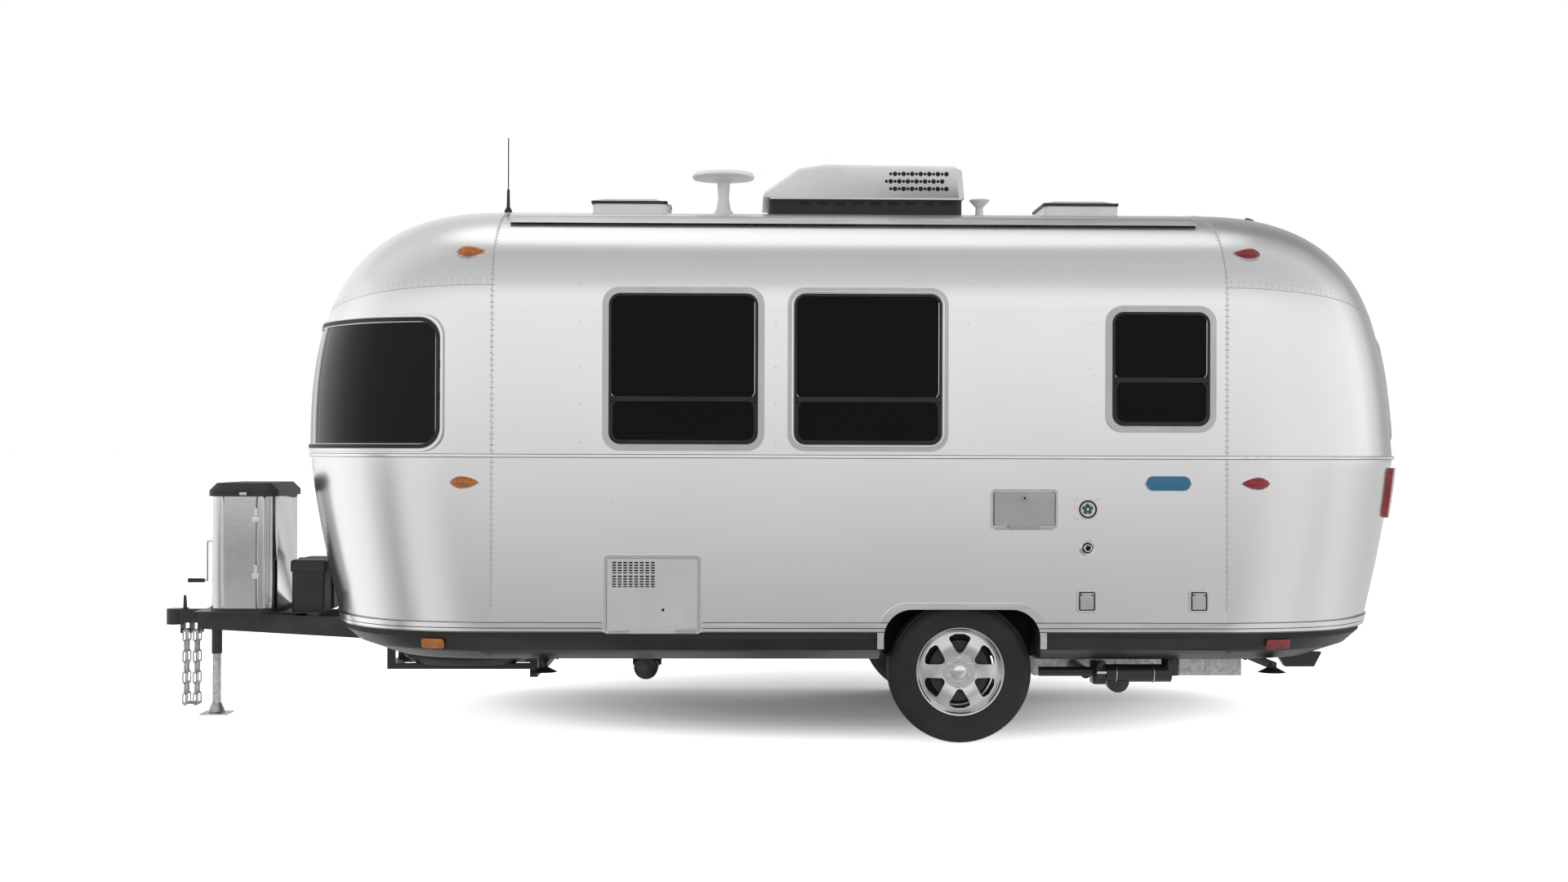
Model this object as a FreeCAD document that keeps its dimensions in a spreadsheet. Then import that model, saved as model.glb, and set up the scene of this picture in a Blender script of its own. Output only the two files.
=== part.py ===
import FreeCAD, Part
import math
import os
import re
from types import SimpleNamespace

# Single-axle riveted travel caravan, millimetres. +X runs to the rear, -Y is the street side,
# +Z is up, and the floor it stands on is z = 0, under the middle of its length and width.

Vector = FreeCAD.Vector
doc = FreeCAD.newDocument("caravan")
sheet = doc.addObject("Spreadsheet::Sheet", "sizes")

DRIVING = {
    "overall_length": 6680,
    "body_width": 2440,
    "roof_height": 2725,
    "shoulder_height": 2150,
    "belt_height": 1432,
    "shell_bottom": 560,
    "wall": 45,
    "crown_flat": 3,
    "shoulder_power": 2.5,
    "profile_power": 2.65,
    "plan_power": 2.3,
    "tuck": 172,
    "tuck_power": 1.4,
    "front_seam": 1410,
    "rear_seam": 2205,
    "front_reach": 1095,
    "rear_lean": 33,
    "drip_height": 2600,
    "drip_rail_width": 46,
    "drip_rail_proud": 14,
    "belt_trim_height": 18,
    "belt_trim_proud": 12,
    "lower_trim_height": 50,
    "lower_trim_proud": 10,
    "floor_thickness": 32,
    "belly_bottom": 410,
    "belly_shoulder": 470,
    "belly_inset": 18,
    "belly_skin": 12,
    "belly_draw": 250,
    "seal_gap": 6,
    "axle_x": 902,
    "wheel_track": 2040,
    "tyre_radius": 357,
    "tyre_width": 225,
    "rim_radius": 206,
    "rim_width": 190,
    "rim_bore": 42,
    "hub_radius": 38,
    "drum_radius": 150,
    "drum_width": 70,
    "axle_beam": 76,
    "arm_length": 152,
    "arm_height": 64,
    "arm_width": 28,
    "arch_centre_x": 898,
    "arch_width": 770,
    "arch_height": 674,
    "arch_corner": 140,
    "arch_band": 32,
    "well_depth": 350,
    "well_top": 770,
    "well_skin": 10,
    "rail_height": 102,
    "rail_width": 51,
    "rail_bottom": 425,
    "rail_spread": 560,
    "rail_rear_x": 2750,
    "coupler_height": 540,
    "coupler_length": 190,
    "nose_rail_height": 520,
    "tray_height": 572,
    "tray_thickness": 6,
    "ball_radius": 29.8,
    "ball_socket_depth": 45,
    "jack_x": -3065,
    "jack_tube_radius": 28.5,
    "jack_ram_radius": 23,
    "jack_tube_top": 970,
    "jack_tube_bottom": 330,
    "jack_foot_width": 152,
    "jack_foot_thickness": 6,
    "jack_travel": 260,
    "bottle_front_x": -3028,
    "bottle_rear_x": -2682,
    "bottle_width": 640,
    "bottle_lid_bottom": 1199,
    "bottle_lid_top": 1271,
    "bottle_corner": 90,
    "battery_x": -2616,
    "battery_length": 190,
    "battery_width": 460,
    "battery_top": 855,
    "side_window_bottom": 1450,
    "side_window_top": 2253,
    "window_corner": 85,
    "window_flange": 40,
    "window_proud": 12,
    "glass_thickness": 6,
    "door_front_x": -400,
    "door_width": 680,
    "door_bottom": 640,
    "door_top": 2430,
    "door_corner": 70,
    "door_hinge_radius": 9,
    "step_x": -60,
    "step_width": 560,
    "step_depth": 250,
    "step_height": 330,
    "step_travel": 240,
    "front_vent_x": -797,
    "rear_vent_x": 1658,
    "vent_opening": 356,
    "vent_height": 62,
    "vent_lid_height": 34,
    "ac_front_x": -76,
    "ac_rear_x": 1006,
    "ac_width": 700,
    "ac_pan_height": 84,
    "ac_top": 2990,
    "dish_x": -292,
    "dish_radius": 172,
    "dish_top": 2990,
    "rod_x": -1428,
    "rod_y": -420,
    "rod_top": 3105,
    "funnel_x": 1125,
    "hatch_x": 1204,
    "hatch_z": 1167,
    "hatch_length": 335,
    "hatch_height": 204,
    "heater_x": -621,
    "heater_length": 480,
    "heater_bottom": 553,
    "heater_top": 940,
    "inlet_x": 1515,
    "power_inlet_z": 1168,
    "water_inlet_z": 977,
    "lid_size": 98,
    "lid_front_x": 1513,
    "lid_rear_x": 2067,
    "lid_z": 708,
    "tank_front_x": 1352,
    "tank_rear_x": 2449,
    "tank_bottom": 274,
    "tank_width": 1100,
    "tank_skin": 3,
    "pipe_radius": 45,
    "hose_tube_radius": 62,
    "hose_tube_x": -674,
    "hose_tube_length": 1500,
    "spare_x": -1680,
    "spare_z": 295,
    "stabiliser_front_x": -1180,
    "stabiliser_rear_x": 2505,
    "stabiliser_pivot_y": 520,
    "stabiliser_pivot_z": 372,
    "stabiliser_length": 440,
    "lamp_length": 148,
    "lamp_height": 62,
    "lamp_proud": 34,
}
for row, (alias, value) in enumerate(DRIVING.items(), 1):
    sheet.set(f"A{row}", alias)
    sheet.set(f"B{row}", str(value))
    sheet.setAlias(f"B{row}", alias)
doc.recompute()
S = SimpleNamespace(**{alias: float(sheet.get(alias)) for alias in DRIVING})

HALF = S.body_width / 2
NOSE_X = -S.overall_length / 2
REAR_REACH = S.overall_length / 2 - S.rear_seam - S.belt_trim_proud
HUGE = 2 * S.overall_length

nodes = []


def bound(obj, **texts):
    """Tie an object's sizes to the sheet: each text names sheet sizes."""
    for prop, text in texts.items():
        tied = re.sub(r"[a-z][a-z_]+", lambda word: "sizes." + word.group(0), str(text))
        obj.setExpression(prop.replace("__", "."), tied)
    return obj


def box(name, length, width, height, x, y, z):
    obj = doc.addObject("Part::Box", name)
    return bound(obj, Length=length, Width=width, Height=height,
                 Placement__Base__x=x, Placement__Base__y=y, Placement__Base__z=z)


AXES = {"X": Vector(0, 1, 0), "Y": Vector(-1, 0, 0), "Z": Vector(0, 0, 1)}


def rod(name, radius, length, x, y, z, along):
    obj = doc.addObject("Part::Cylinder", name)
    if along != "Z":
        obj.Placement.Rotation = FreeCAD.Rotation(AXES[along], 90)
    return bound(obj, Radius=radius, Height=length,
                 Placement__Base__x=x, Placement__Base__y=y, Placement__Base__z=z)


def fuse(name, parts):
    obj = doc.addObject("Part::MultiFuse", name)
    obj.Shapes = parts
    return obj


def cut(name, base, tool):
    obj = doc.addObject("Part::Cut", name)
    obj.Base = base
    obj.Tool = tool
    return obj


def node(name, obj):
    """Mark a finished sub-part: its label names its file."""
    obj.Label = name
    nodes.append(obj)
    return obj


def shaped(name, shape):
    """A sub-part whose form needs surfaces that no primitive gives."""
    obj = doc.addObject("Part::Feature", name + "_shape")
    obj.Shape = shape
    return node(name, obj)


def block(x0, x1, y0, y1, z0, z1):
    return Part.makeBox(x1 - x0, y1 - y0, z1 - z0, Vector(x0, y0, z0))


def group(shapes):
    """Several pieces of one node, fused where they touch."""
    shapes = list(shapes)
    return shapes[0].fuse(shapes[1:]).removeSplitter() if len(shapes) > 1 else shapes[0]


# The shell's outer form: at each height a plan with straight sides and rounded ends.


def half_width(z, inset):
    if z <= S.shoulder_height:
        return HALF - inset
    rise = (z - S.shoulder_height) / (S.roof_height - S.shoulder_height - inset)
    return (HALF - inset) * (1 - rise**S.shoulder_power) ** (1 / S.shoulder_power)


def reach(z, inset, full, lean):
    """How far an end stands out from its seam at one height."""
    if z <= S.belt_height:
        below = (S.belt_height - z) / (S.belt_height - S.shell_bottom)
        return full - inset - S.tuck * below**S.tuck_power
    rise = (z - S.belt_height) / (S.roof_height - S.belt_height - inset)
    shrink = (1 - rise**S.profile_power) ** (1 / S.profile_power)
    return (full - inset - lean * (1 - (1 - rise) ** 4)) * shrink


def end_curve(seam, way, width, length, z):
    """The rounded end of one plan, from its +Y to its -Y side."""
    steps = 8
    points = []
    for k in range(steps + 1):
        angle = math.pi * k / steps
        out = length * max(math.sin(angle), 0) ** (2 / S.plan_power)
        side = math.copysign(abs(math.cos(angle)) ** (2 / S.plan_power), math.cos(angle))
        points.append(Vector(seam + way * out, width * side, z))
    speed = 2 * width
    curve = Part.BSplineCurve()
    curve.interpolate(Points=points, Parameters=[k / steps for k in range(steps + 1)],
                      InitialTangent=Vector(way * speed, 0, 0),
                      FinalTangent=Vector(-way * speed, 0, 0), Scale=False)
    return curve.toShape()


def plan(z, width, front, rear):
    """One closed plan outline at height z."""
    nose = end_curve(-S.front_seam, -1, width, front, z)
    tail = end_curve(S.rear_seam, 1, width, rear, z)
    street = Part.makeLine(Vector(-S.front_seam, -width, z), Vector(S.rear_seam, -width, z))
    curb = Part.makeLine(Vector(-S.front_seam, width, z), Vector(S.rear_seam, width, z))
    return Part.Wire([nose, street, tail, curb])


def hull(inset, low):
    """The body's form, a given distance inside its outer skin, from height low up."""
    rise = S.roof_height - S.shoulder_height - inset - S.crown_flat
    bands = [[low + (S.belt_height - low) * k / 5 for k in range(6)],
             [S.belt_height + (S.shoulder_height - S.belt_height) * k / 3 for k in range(4)],
             [S.shoulder_height + rise * math.sin(math.radians(a))
              for a in (0, 10, 22, 37, 52, 66, 79, 90)]]
    faces = []
    for heights in bands:
        plans = [plan(z, half_width(z, inset), reach(z, inset, S.front_reach, 0),
                      reach(z, inset, REAR_REACH, S.rear_lean)) for z in heights]
        faces += Part.makeLoft(plans, False, False).Faces
        faces += [Part.Face(plans[0])] if heights[0] == low else []
    faces.append(Part.Face(plans[-1]))
    shell = Part.Shell(faces)
    shell.sewShape()
    solid = Part.Solid(shell)
    if solid.Volume < 0:
        solid.reverse()
    return solid


outer_hull = hull(0, S.shell_bottom)
inner_hull = hull(S.wall, S.shell_bottom - 50)
proud_hull = hull(-S.window_proud, S.shell_bottom)
glass_hull = hull(S.glass_thickness - S.window_proud, S.shell_bottom)
behind_glass_hull = hull(2 * S.glass_thickness - S.window_proud, S.shell_bottom)


def rounded_prism(x0, x1, z0, z1, radius, y0, y1):
    """A bar along Y with a rounded rectangular section."""
    bar = block(x0, x1, y0, y1, z0, z1)
    edges = [e for e in bar.Edges if abs(abs(e.tangentAt(e.FirstParameter).y) - 1) < 1e-6]
    return bar.makeFillet(radius, edges)


def rounded_bar_x(y0, y1, z0, z1, radius, x0, x1):
    """A bar along X with a rounded rectangular section."""
    bar = block(x0, x1, y0, y1, z0, z1)
    edges = [e for e in bar.Edges if abs(abs(e.tangentAt(e.FirstParameter).x) - 1) < 1e-6]
    return bar.makeFillet(radius, edges)


def rounded_post(x0, x1, y0, y1, z0, z1, radius):
    """An upright block with rounded vertical corners."""
    post = block(x0, x1, y0, y1, z0, z1)
    edges = [e for e in post.Edges if abs(abs(e.tangentAt(e.FirstParameter).z) - 1) < 1e-6]
    return post.makeFillet(radius, edges)


def mirrored_y(shape):
    return shape.mirror(Vector(0, 0, 0), Vector(0, 1, 0))


# Windows: outer edges of their flanges, X from and to, Z from and to.

street_windows = [(-870, -76), (38, 828)]
street_small = (1604, 2150, 1546, 2171)
curb_windows = [(-1230, -560), (560, 1290)]
SIDE_Z = (S.side_window_bottom, S.side_window_top)

window_sides = [(x0, x1, *SIDE_Z, -1) for x0, x1 in street_windows]
window_sides += [(*street_small, -1)]
window_sides += [(x0, x1, *SIDE_Z, 1) for x0, x1 in curb_windows]
window_sides += [(*street_small, 1)]


def side_bar(window, grow, depth):
    """The bar that a side window's outline sweeps through its wall."""
    x0, x1, z0, z1, side = window
    radius = S.window_corner + grow
    bar = rounded_prism(x0 - grow, x1 + grow, z0 - grow, z1 + grow, radius,
                        HALF - depth, HALF + depth)
    return bar if side > 0 else mirrored_y(bar)


# The front window wraps round the nose, in three panes; the rear one is a single pane.

FRONT_WINDOW = (-1648, 1442, 2118)
REAR_WINDOW = (470, 1520, 2060)


def front_bar(grow):
    x1, z0, z1 = FRONT_WINDOW
    return rounded_prism(NOSE_X, x1 + grow, z0 - grow, z1 + grow, 110 + grow,
                         -2 * HALF, 2 * HALF)


def rear_bar(grow):
    y1, z0, z1 = REAR_WINDOW
    return rounded_bar_x(-y1 - grow, y1 + grow, z0 - grow, z1 + grow, 90 + grow,
                         S.rear_seam, HUGE)


def flange_ring(bar, hole=None):
    """A window's flange: it lies on the skin and lines the opening behind it."""
    inner = hole if hole else bar(-flange)
    face = bar(0).cut(inner).common(proud_hull).cut(outer_hull)
    liner = bar(-flange / 2).cut(inner).common(outer_hull).cut(inner_hull)
    return face.fuse(liner)


flange = S.window_flange
window_bars = [lambda grow, w=w: side_bar(w, grow, 200) for w in window_sides]
openings = [bar(-flange / 2) for bar in window_bars]
openings += [front_bar(-flange / 2), rear_bar(-flange / 2)]
whole_shell = outer_hull.cut(inner_hull).cut(openings)

door_x = (S.door_front_x, S.door_front_x + S.door_width)
door_block = rounded_prism(*door_x, S.door_bottom, S.door_top, S.door_corner,
                           HALF - 200, HALF + 60)
doorway = rounded_prism(door_x[0] - S.seal_gap, door_x[1] + S.seal_gap,
                        S.door_bottom - S.seal_gap, S.door_top + S.seal_gap,
                        S.door_corner + S.seal_gap, HALF - 200, HALF + 60)


def arch_bar(grow, down, y0, y1):
    """The wheel opening's outline, swept across one wall."""
    x0 = S.arch_centre_x - S.arch_width / 2 - grow
    x1 = S.arch_centre_x + S.arch_width / 2 + grow
    bar = block(x0, x1, y0, y1, down, S.arch_height + grow)
    edges = [e for e in bar.Edges if abs(abs(e.tangentAt(e.FirstParameter).y) - 1) < 1e-6
             and e.CenterOfMass.z > S.arch_height - 1]
    return bar.makeFillet(S.arch_corner + grow / 2, edges)


arch_opening = arch_bar(0, 0, HALF - 200, HALF + 60)


# Small doors on the street side. Each is a panel in a raised frame, hung on a barrel hinge.


def barrel(x, y, z, length, radius):
    return Part.makeCylinder(radius, length, Vector(x - length / 2, y, z), Vector(1, 0, 0))


def small_door(x, z, length, height, ring, corner, hang, handle):
    """The frame, the panel and the hinge line of one door; hang is -1 at the bottom edge."""
    outer = rounded_prism(x - length / 2, x + length / 2, z - height / 2, z + height / 2,
                          corner, -HALF - 8, -HALF)
    cut_x = length / 2 - ring
    cut_z = height / 2 - ring
    inner = rounded_prism(x - cut_x, x + cut_x, z - cut_z, z + cut_z, corner - ring / 2,
                          -HALF - 60, -HALF + 60)
    frame = outer.cut(inner)
    gap = S.seal_gap - 1
    panel = rounded_prism(x - cut_x + gap, x + cut_x - gap, z - cut_z + gap, z + cut_z - gap,
                          corner - ring / 2 - 2, -HALF - 8, -HALF + 6)
    line_y = -HALF - 8 - 5.3
    line_z = z + hang * (height / 2 - ring / 2)
    middle = barrel(x, line_y, line_z, cut_x, 5)
    z0, z1 = sorted((line_z, z + hang * (cut_z - gap - 12)))
    leaf = block(x - cut_x / 2, x + cut_x / 2, -HALF - 11, -HALF - 8.3, z0, z1)
    leaf = leaf.fuse(block(x - cut_x / 2, x + cut_x / 2, -HALF - 8.3, -HALF - 8,
                           *sorted((z + hang * (cut_z - gap - 12), z + hang * (cut_z - gap)))))
    panel = group([panel, leaf, middle] + handle).cut(barrel(x, line_y, line_z, length, 2.05))
    ends = []
    for side in (-1, 1):
        at = x + side * (cut_x * 0.75 + 0.3 - 5)
        ends.append(barrel(at, line_y, line_z, cut_x / 2 - 10, 5))
    pin = barrel(x, line_y, line_z, cut_x * 1.6, 2)
    foot = cut_x / 4 - 5
    feet = [block(x + side * (cut_x * 0.75 - 4.7) - foot, x + side * (cut_x * 0.75 - 4.7) + foot,
                  -HALF - 10, -HALF - 8, line_z - 4, line_z + 4) for side in (-1, 1)]
    pocket = inner.common(block(-HUGE, HUGE, -HUGE, -HALF + POCKET, 0, HUGE))
    return group([frame, pin] + ends + feet), panel, pocket


POCKET = 24
heater_z = (S.heater_bottom + S.heater_top) / 2
hatch_latch = Part.makeCylinder(16, 4, Vector(S.hatch_x, -HALF - 8, S.hatch_z + 55),
                                Vector(0, -1, 0))
hatch_frame, hatch_panel, hatch_pocket = small_door(S.hatch_x, S.hatch_z, S.hatch_length, S.hatch_height,
                                      14, 24, -1, [hatch_latch])
lid_parts = [small_door(x, S.lid_z, S.lid_size, S.lid_size, 9, 14, 1, [])
             for x in (S.lid_front_x, S.lid_rear_x)]
heater_frame, heater_panel, heater_pocket = small_door(S.heater_x, heater_z, S.heater_length,
                                        S.heater_top - S.heater_bottom, 14, 22, -1, [])
heater_frame = heater_frame.common(block(-HUGE, HUGE, -HUGE, HUGE, S.shell_bottom - 40, HUGE))

wall_zone = block(-S.front_seam, S.rear_seam, -2 * HALF, 2 * HALF, 0, S.drip_height)
roof_zone = block(-S.front_seam, S.rear_seam, -2 * HALF, 2 * HALF, S.drip_height, HUGE)
front_zone = block(-HUGE, -S.front_seam, -2 * HALF, 2 * HALF, 0, HUGE)
rear_zone = block(S.rear_seam, HUGE, -2 * HALF, 2 * HALF, 0, HUGE)
street_half = block(-HUGE, HUGE, -2 * HALF, 0, 0, HUGE)
curb_half = block(-HUGE, HUGE, 0, 2 * HALF, 0, HUGE)

shaped("front_end", whole_shell.common(front_zone))
shaped("rear_end", whole_shell.common(rear_zone))
walls = whole_shell.common(wall_zone)
street_cuts = [mirrored_y(arch_opening), hatch_pocket, heater_pocket]
street_cuts += [pocket for _, _, pocket in lid_parts]
shaped("street_wall", walls.common(street_half).cut(street_cuts))
shaped("curb_wall", walls.common(curb_half).cut([doorway, arch_opening]))

vent_holes = [block(x - S.vent_opening / 2, x + S.vent_opening / 2, -S.vent_opening / 2,
                    S.vent_opening / 2, S.roof_height - 200, S.roof_height + 200)
              for x in (S.front_vent_x, S.rear_vent_x)]
shaped("roof", whole_shell.common(roof_zone).cut(vent_holes))

# Window flanges and glass.

side_flanges = [flange_ring(bar) for bar in window_bars]
pillars = [block(NOSE_X, NOSE_X + 1500, y - 25, y + 25, 0, HUGE) for y in (-640, 640)]
front_hole = front_bar(-flange).cut(pillars)
front_flange = flange_ring(front_bar, front_hole)
rear_flange = flange_ring(rear_bar)
shaped("window_frames", Part.makeCompound(side_flanges + [front_flange, rear_flange]))


def pane(bar):
    return bar.common(glass_hull).cut(behind_glass_hull)


pane_bars = [bar(-flange) for bar in window_bars] + [front_hole, rear_bar(-flange)]
shaped("window_glass", Part.makeCompound([pane(bar) for bar in pane_bars]))

# Belt trim, lower trim, drip rails and wheel arch bands.

belt_band = block(-HUGE, HUGE, -HUGE, HUGE, S.belt_height - S.belt_trim_height,
                  S.belt_height)
belt_ring = hull(-S.belt_trim_proud, S.shell_bottom).cut(outer_hull).common(belt_band)
door_gap = block(door_x[0] - S.seal_gap, door_x[1] + S.seal_gap, 0, HUGE, 0, HUGE)
shaped("belt_trim", belt_ring.cut(door_gap))

lower_band = block(-HUGE, HUGE, -HUGE, HUGE, S.shell_bottom,
                   S.shell_bottom + S.lower_trim_height)
lower_ring = hull(-S.lower_trim_proud, S.shell_bottom).cut(outer_hull).common(lower_band)
heater_gap = block(S.heater_x - S.heater_length / 2 - S.seal_gap,
                   S.heater_x + S.heater_length / 2 + S.seal_gap, -HUGE, 0, 0, HUGE)
arch_gaps = [arch_bar(S.arch_band, 0, HALF - 60, HALF + 60)]
arch_gaps += [mirrored_y(arch_gaps[0])]
lower_rails = lower_ring.cut([heater_gap] + arch_gaps)

arch_low = S.shell_bottom - 80
arch_ring = arch_bar(S.arch_band, arch_low, HALF - 20, HALF + S.lower_trim_proud + 4)
arch_ring = arch_ring.cut(arch_bar(0, arch_low - 1, HALF - 60, HALF + 60))
arch_ring = arch_ring.cut(outer_hull)
arch_ring = arch_ring.common(block(-HUGE, HUGE, HALF - 1, HUGE, 0, HUGE))
shaped("lower_trim", Part.makeCompound([lower_rails, arch_ring, mirrored_y(arch_ring)]))

rail_z = S.drip_height
rail_band = block(-S.front_seam + 50, S.rear_seam - 80, 0, HUGE, rail_z,
                  rail_z + S.drip_rail_width)
drip = hull(-S.drip_rail_proud, S.shell_bottom).cut(outer_hull).common(rail_band)
shaped("drip_rails", Part.makeCompound([drip, mirrored_y(drip)]))

# Chassis: two main rails under the floor that run together at the coupler.

apex_x = NOSE_X + S.coupler_length
bend_x = -S.front_seam + 40
tray_top = S.tray_height + S.tray_thickness


def beam(start, end, width, height):
    """A box beam between two points at mid height."""
    run = end - start
    bar = Part.makeBox(run.Length, width, height, Vector(0, -width / 2, -height / 2))
    bar.Placement = FreeCAD.Placement(start, FreeCAD.Rotation(Vector(1, 0, 0), run))
    return bar


rail_mid = S.rail_bottom + S.rail_height / 2
chassis_parts = []
frame_slots = []
rail_y = S.rail_spread
for side in (-1, 1):
    bend = Vector(bend_x, side * rail_y, rail_mid)
    tip = Vector(apex_x, side * 30, S.nose_rail_height)
    chassis_parts.append(beam(tip, bend, S.rail_width, S.rail_height))
    frame_slots.append(beam(tip, bend, S.rail_width + 6, S.rail_height + 6))
    chassis_parts.append(beam(Vector(bend_x - 10, side * rail_y, rail_mid),
                              Vector(S.rail_rear_x, side * rail_y, rail_mid),
                              S.rail_width, S.rail_height))
    chassis_parts.append(block(-2600, -2540, side * 170 - 20, side * 170 + 20, 520,
                               S.tray_height))
for x in (S.spare_x + S.tyre_radius + 60, -500, S.axle_x - 320, S.axle_x + 320,
          S.rail_rear_x - 30):
    chassis_parts.append(block(x - 25, x + 25, -rail_y, rail_y, S.rail_bottom + 10,
                               S.rail_bottom + S.rail_height - 10))
chassis_parts.append(block(-3125, -2440, -250, 250, S.tray_height, tray_top))
chassis_parts.append(block(-3125, -3000, -60, 60, 500, S.tray_height))
jack_bore = Part.makeCylinder(S.jack_tube_radius, 400, Vector(S.jack_x, 0, 400))
chassis = group(chassis_parts).cut(jack_bore)
shaped("chassis", chassis)

# Floor and belly pan.

floor_low = S.shell_bottom - S.floor_thickness


def low_plan(z, draw_in, draw_ends):
    return plan(z, HALF - draw_in,
                reach(S.shell_bottom, 0, S.front_reach, 0) - draw_ends,
                reach(S.shell_bottom, 0, REAR_REACH, 0) - draw_ends)


def slab(wire, height):
    return Part.Face(wire).extrude(Vector(0, 0, height))


well_x = (S.arch_centre_x - S.arch_width / 2 - S.well_skin,
          S.arch_centre_x + S.arch_width / 2 + S.well_skin)
well_inner_y = HALF - S.well_depth
well_space = block(*well_x, well_inner_y, 2 * HALF, 0, S.well_top)
well_cuts = [well_space, mirrored_y(well_space)]
floor_slab = slab(low_plan(floor_low, S.belly_inset, S.belly_inset), S.floor_thickness)
shaped("floor", floor_slab.cut(well_cuts + [chassis]))


def belly(inset, top):
    """The underbody's form: its sides curl in and its ends rise."""
    curl = HALF - S.belly_inset
    levels = [(S.belly_bottom + inset, 200 + inset, S.belly_draw + inset),
              (S.belly_shoulder + inset / 2, 40 + inset, 90 + inset),
              (top, S.belly_inset + inset, S.belly_inset + inset)]
    return Part.makeLoft([low_plan(*level) for level in levels], True, True)


belly_tray = belly(0, floor_low).cut(belly(S.belly_skin, floor_low + 1))
pivot_x = S.axle_x - S.arm_length
bracket_slots = [block(pivot_x - 62, pivot_x + 62, side * rail_y - 27, side * rail_y + 27,
                       0, S.rail_bottom) for side in (-1, 1)]
spare_recess = Part.makeCylinder(S.tyre_radius + 14, HUGE, Vector(S.spare_x, 0, 0))
shaped("belly_pan", belly_tray.cut(well_cuts + frame_slots + bracket_slots
                                   + [spare_recess]))

well_shell = block(*well_x, well_inner_y, HALF - S.wall, S.belly_bottom + 20, S.well_top)
well_room = block(well_x[0] + S.well_skin, well_x[1] - S.well_skin,
                  well_inner_y + S.well_skin, HALF, 0, S.well_top - S.well_skin)
well = well_shell.cut(well_room)
shaped("wheel_wells", Part.makeCompound([well, mirrored_y(well)]))

# Coupler: a pressed housing over the tow ball, with its latch lever on top.

socket = Part.makeCylinder(S.ball_radius, S.ball_socket_depth,
                           Vector(NOSE_X + 52, 0, S.coupler_height - 50))
head = Part.makeCylinder(50, 86, Vector(NOSE_X + 50, 0, S.coupler_height - 50))
neck = block(NOSE_X + 50, apex_x + 20, -38, 38, S.coupler_height - 40, S.coupler_height + 34)
latch = block(NOSE_X + 95, NOSE_X + 112, -12, 12, S.coupler_height + 10,
              S.coupler_height + 110)
shaped("coupler", group([head, neck, latch]).cut([socket, chassis]))

# Tongue jack: fixed outer tube with its crank, and a ram that runs down to the foot.

jack_tube = Part.makeCylinder(S.jack_tube_radius, S.jack_tube_top - S.jack_tube_bottom,
                              Vector(S.jack_x, 0, S.jack_tube_bottom))
jack_hollow = Part.makeCylinder(S.jack_ram_radius + 0.1, 575,
                                Vector(S.jack_x, 0, S.jack_tube_bottom - 1))
jack_collar = Part.makeCylinder(34, 14, Vector(S.jack_x, 0, tray_top))
crank_arm = beam(Vector(S.jack_x, 0, S.jack_tube_top - 25),
                 Vector(S.jack_x - 60, 0, S.jack_tube_top - 25), 14, 14)
crank_drop = beam(Vector(S.jack_x - 55, 0, S.jack_tube_top - 20),
                  Vector(S.jack_x - 55, 0, S.jack_tube_top - 240), 12, 12)
crank_grip = Part.makeCylinder(13, 110, Vector(S.jack_x - 50, 0, S.jack_tube_top - 240),
                               Vector(-1, 0, 0))
shaped("jack_tube", group([jack_tube, jack_collar]).cut(jack_hollow))
shaped("jack_crank", group([crank_arm, crank_drop, crank_grip]).cut(
    Part.makeCylinder(S.jack_tube_radius, 400, Vector(S.jack_x, 0, S.jack_tube_top - 300))))

ram = Part.makeCylinder(S.jack_ram_radius, 600, Vector(S.jack_x, 0, 3))
foot_half = S.jack_foot_width / 2
foot = block(S.jack_x - foot_half, S.jack_x + foot_half, -foot_half, foot_half, 0,
             S.jack_foot_thickness)
cone = Part.makeCone(48, S.jack_ram_radius, 60, Vector(S.jack_x, 0, S.jack_foot_thickness))
shaped("jack_ram", group([ram, foot, cone]))

# Gas bottle cover with its lid, and the battery box behind it.

bottle_y = S.bottle_width / 2
shaped("bottle_cover", rounded_post(S.bottle_front_x, S.bottle_rear_x, -bottle_y, bottle_y,
                                    tray_top, S.bottle_lid_bottom, S.bottle_corner))
shaped("bottle_lid", rounded_post(S.bottle_front_x - 14, S.bottle_rear_x + 14,
                                  -bottle_y - 14, bottle_y + 14, S.bottle_lid_bottom,
                                  S.bottle_lid_top, S.bottle_corner))
battery_y = S.battery_width / 2
shaped("battery_box", rounded_post(S.battery_x, S.battery_x + S.battery_length, -battery_y,
                                   battery_y, tray_top, S.battery_top, 20))

# Axle with its rubber-sprung trailing arms.

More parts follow.
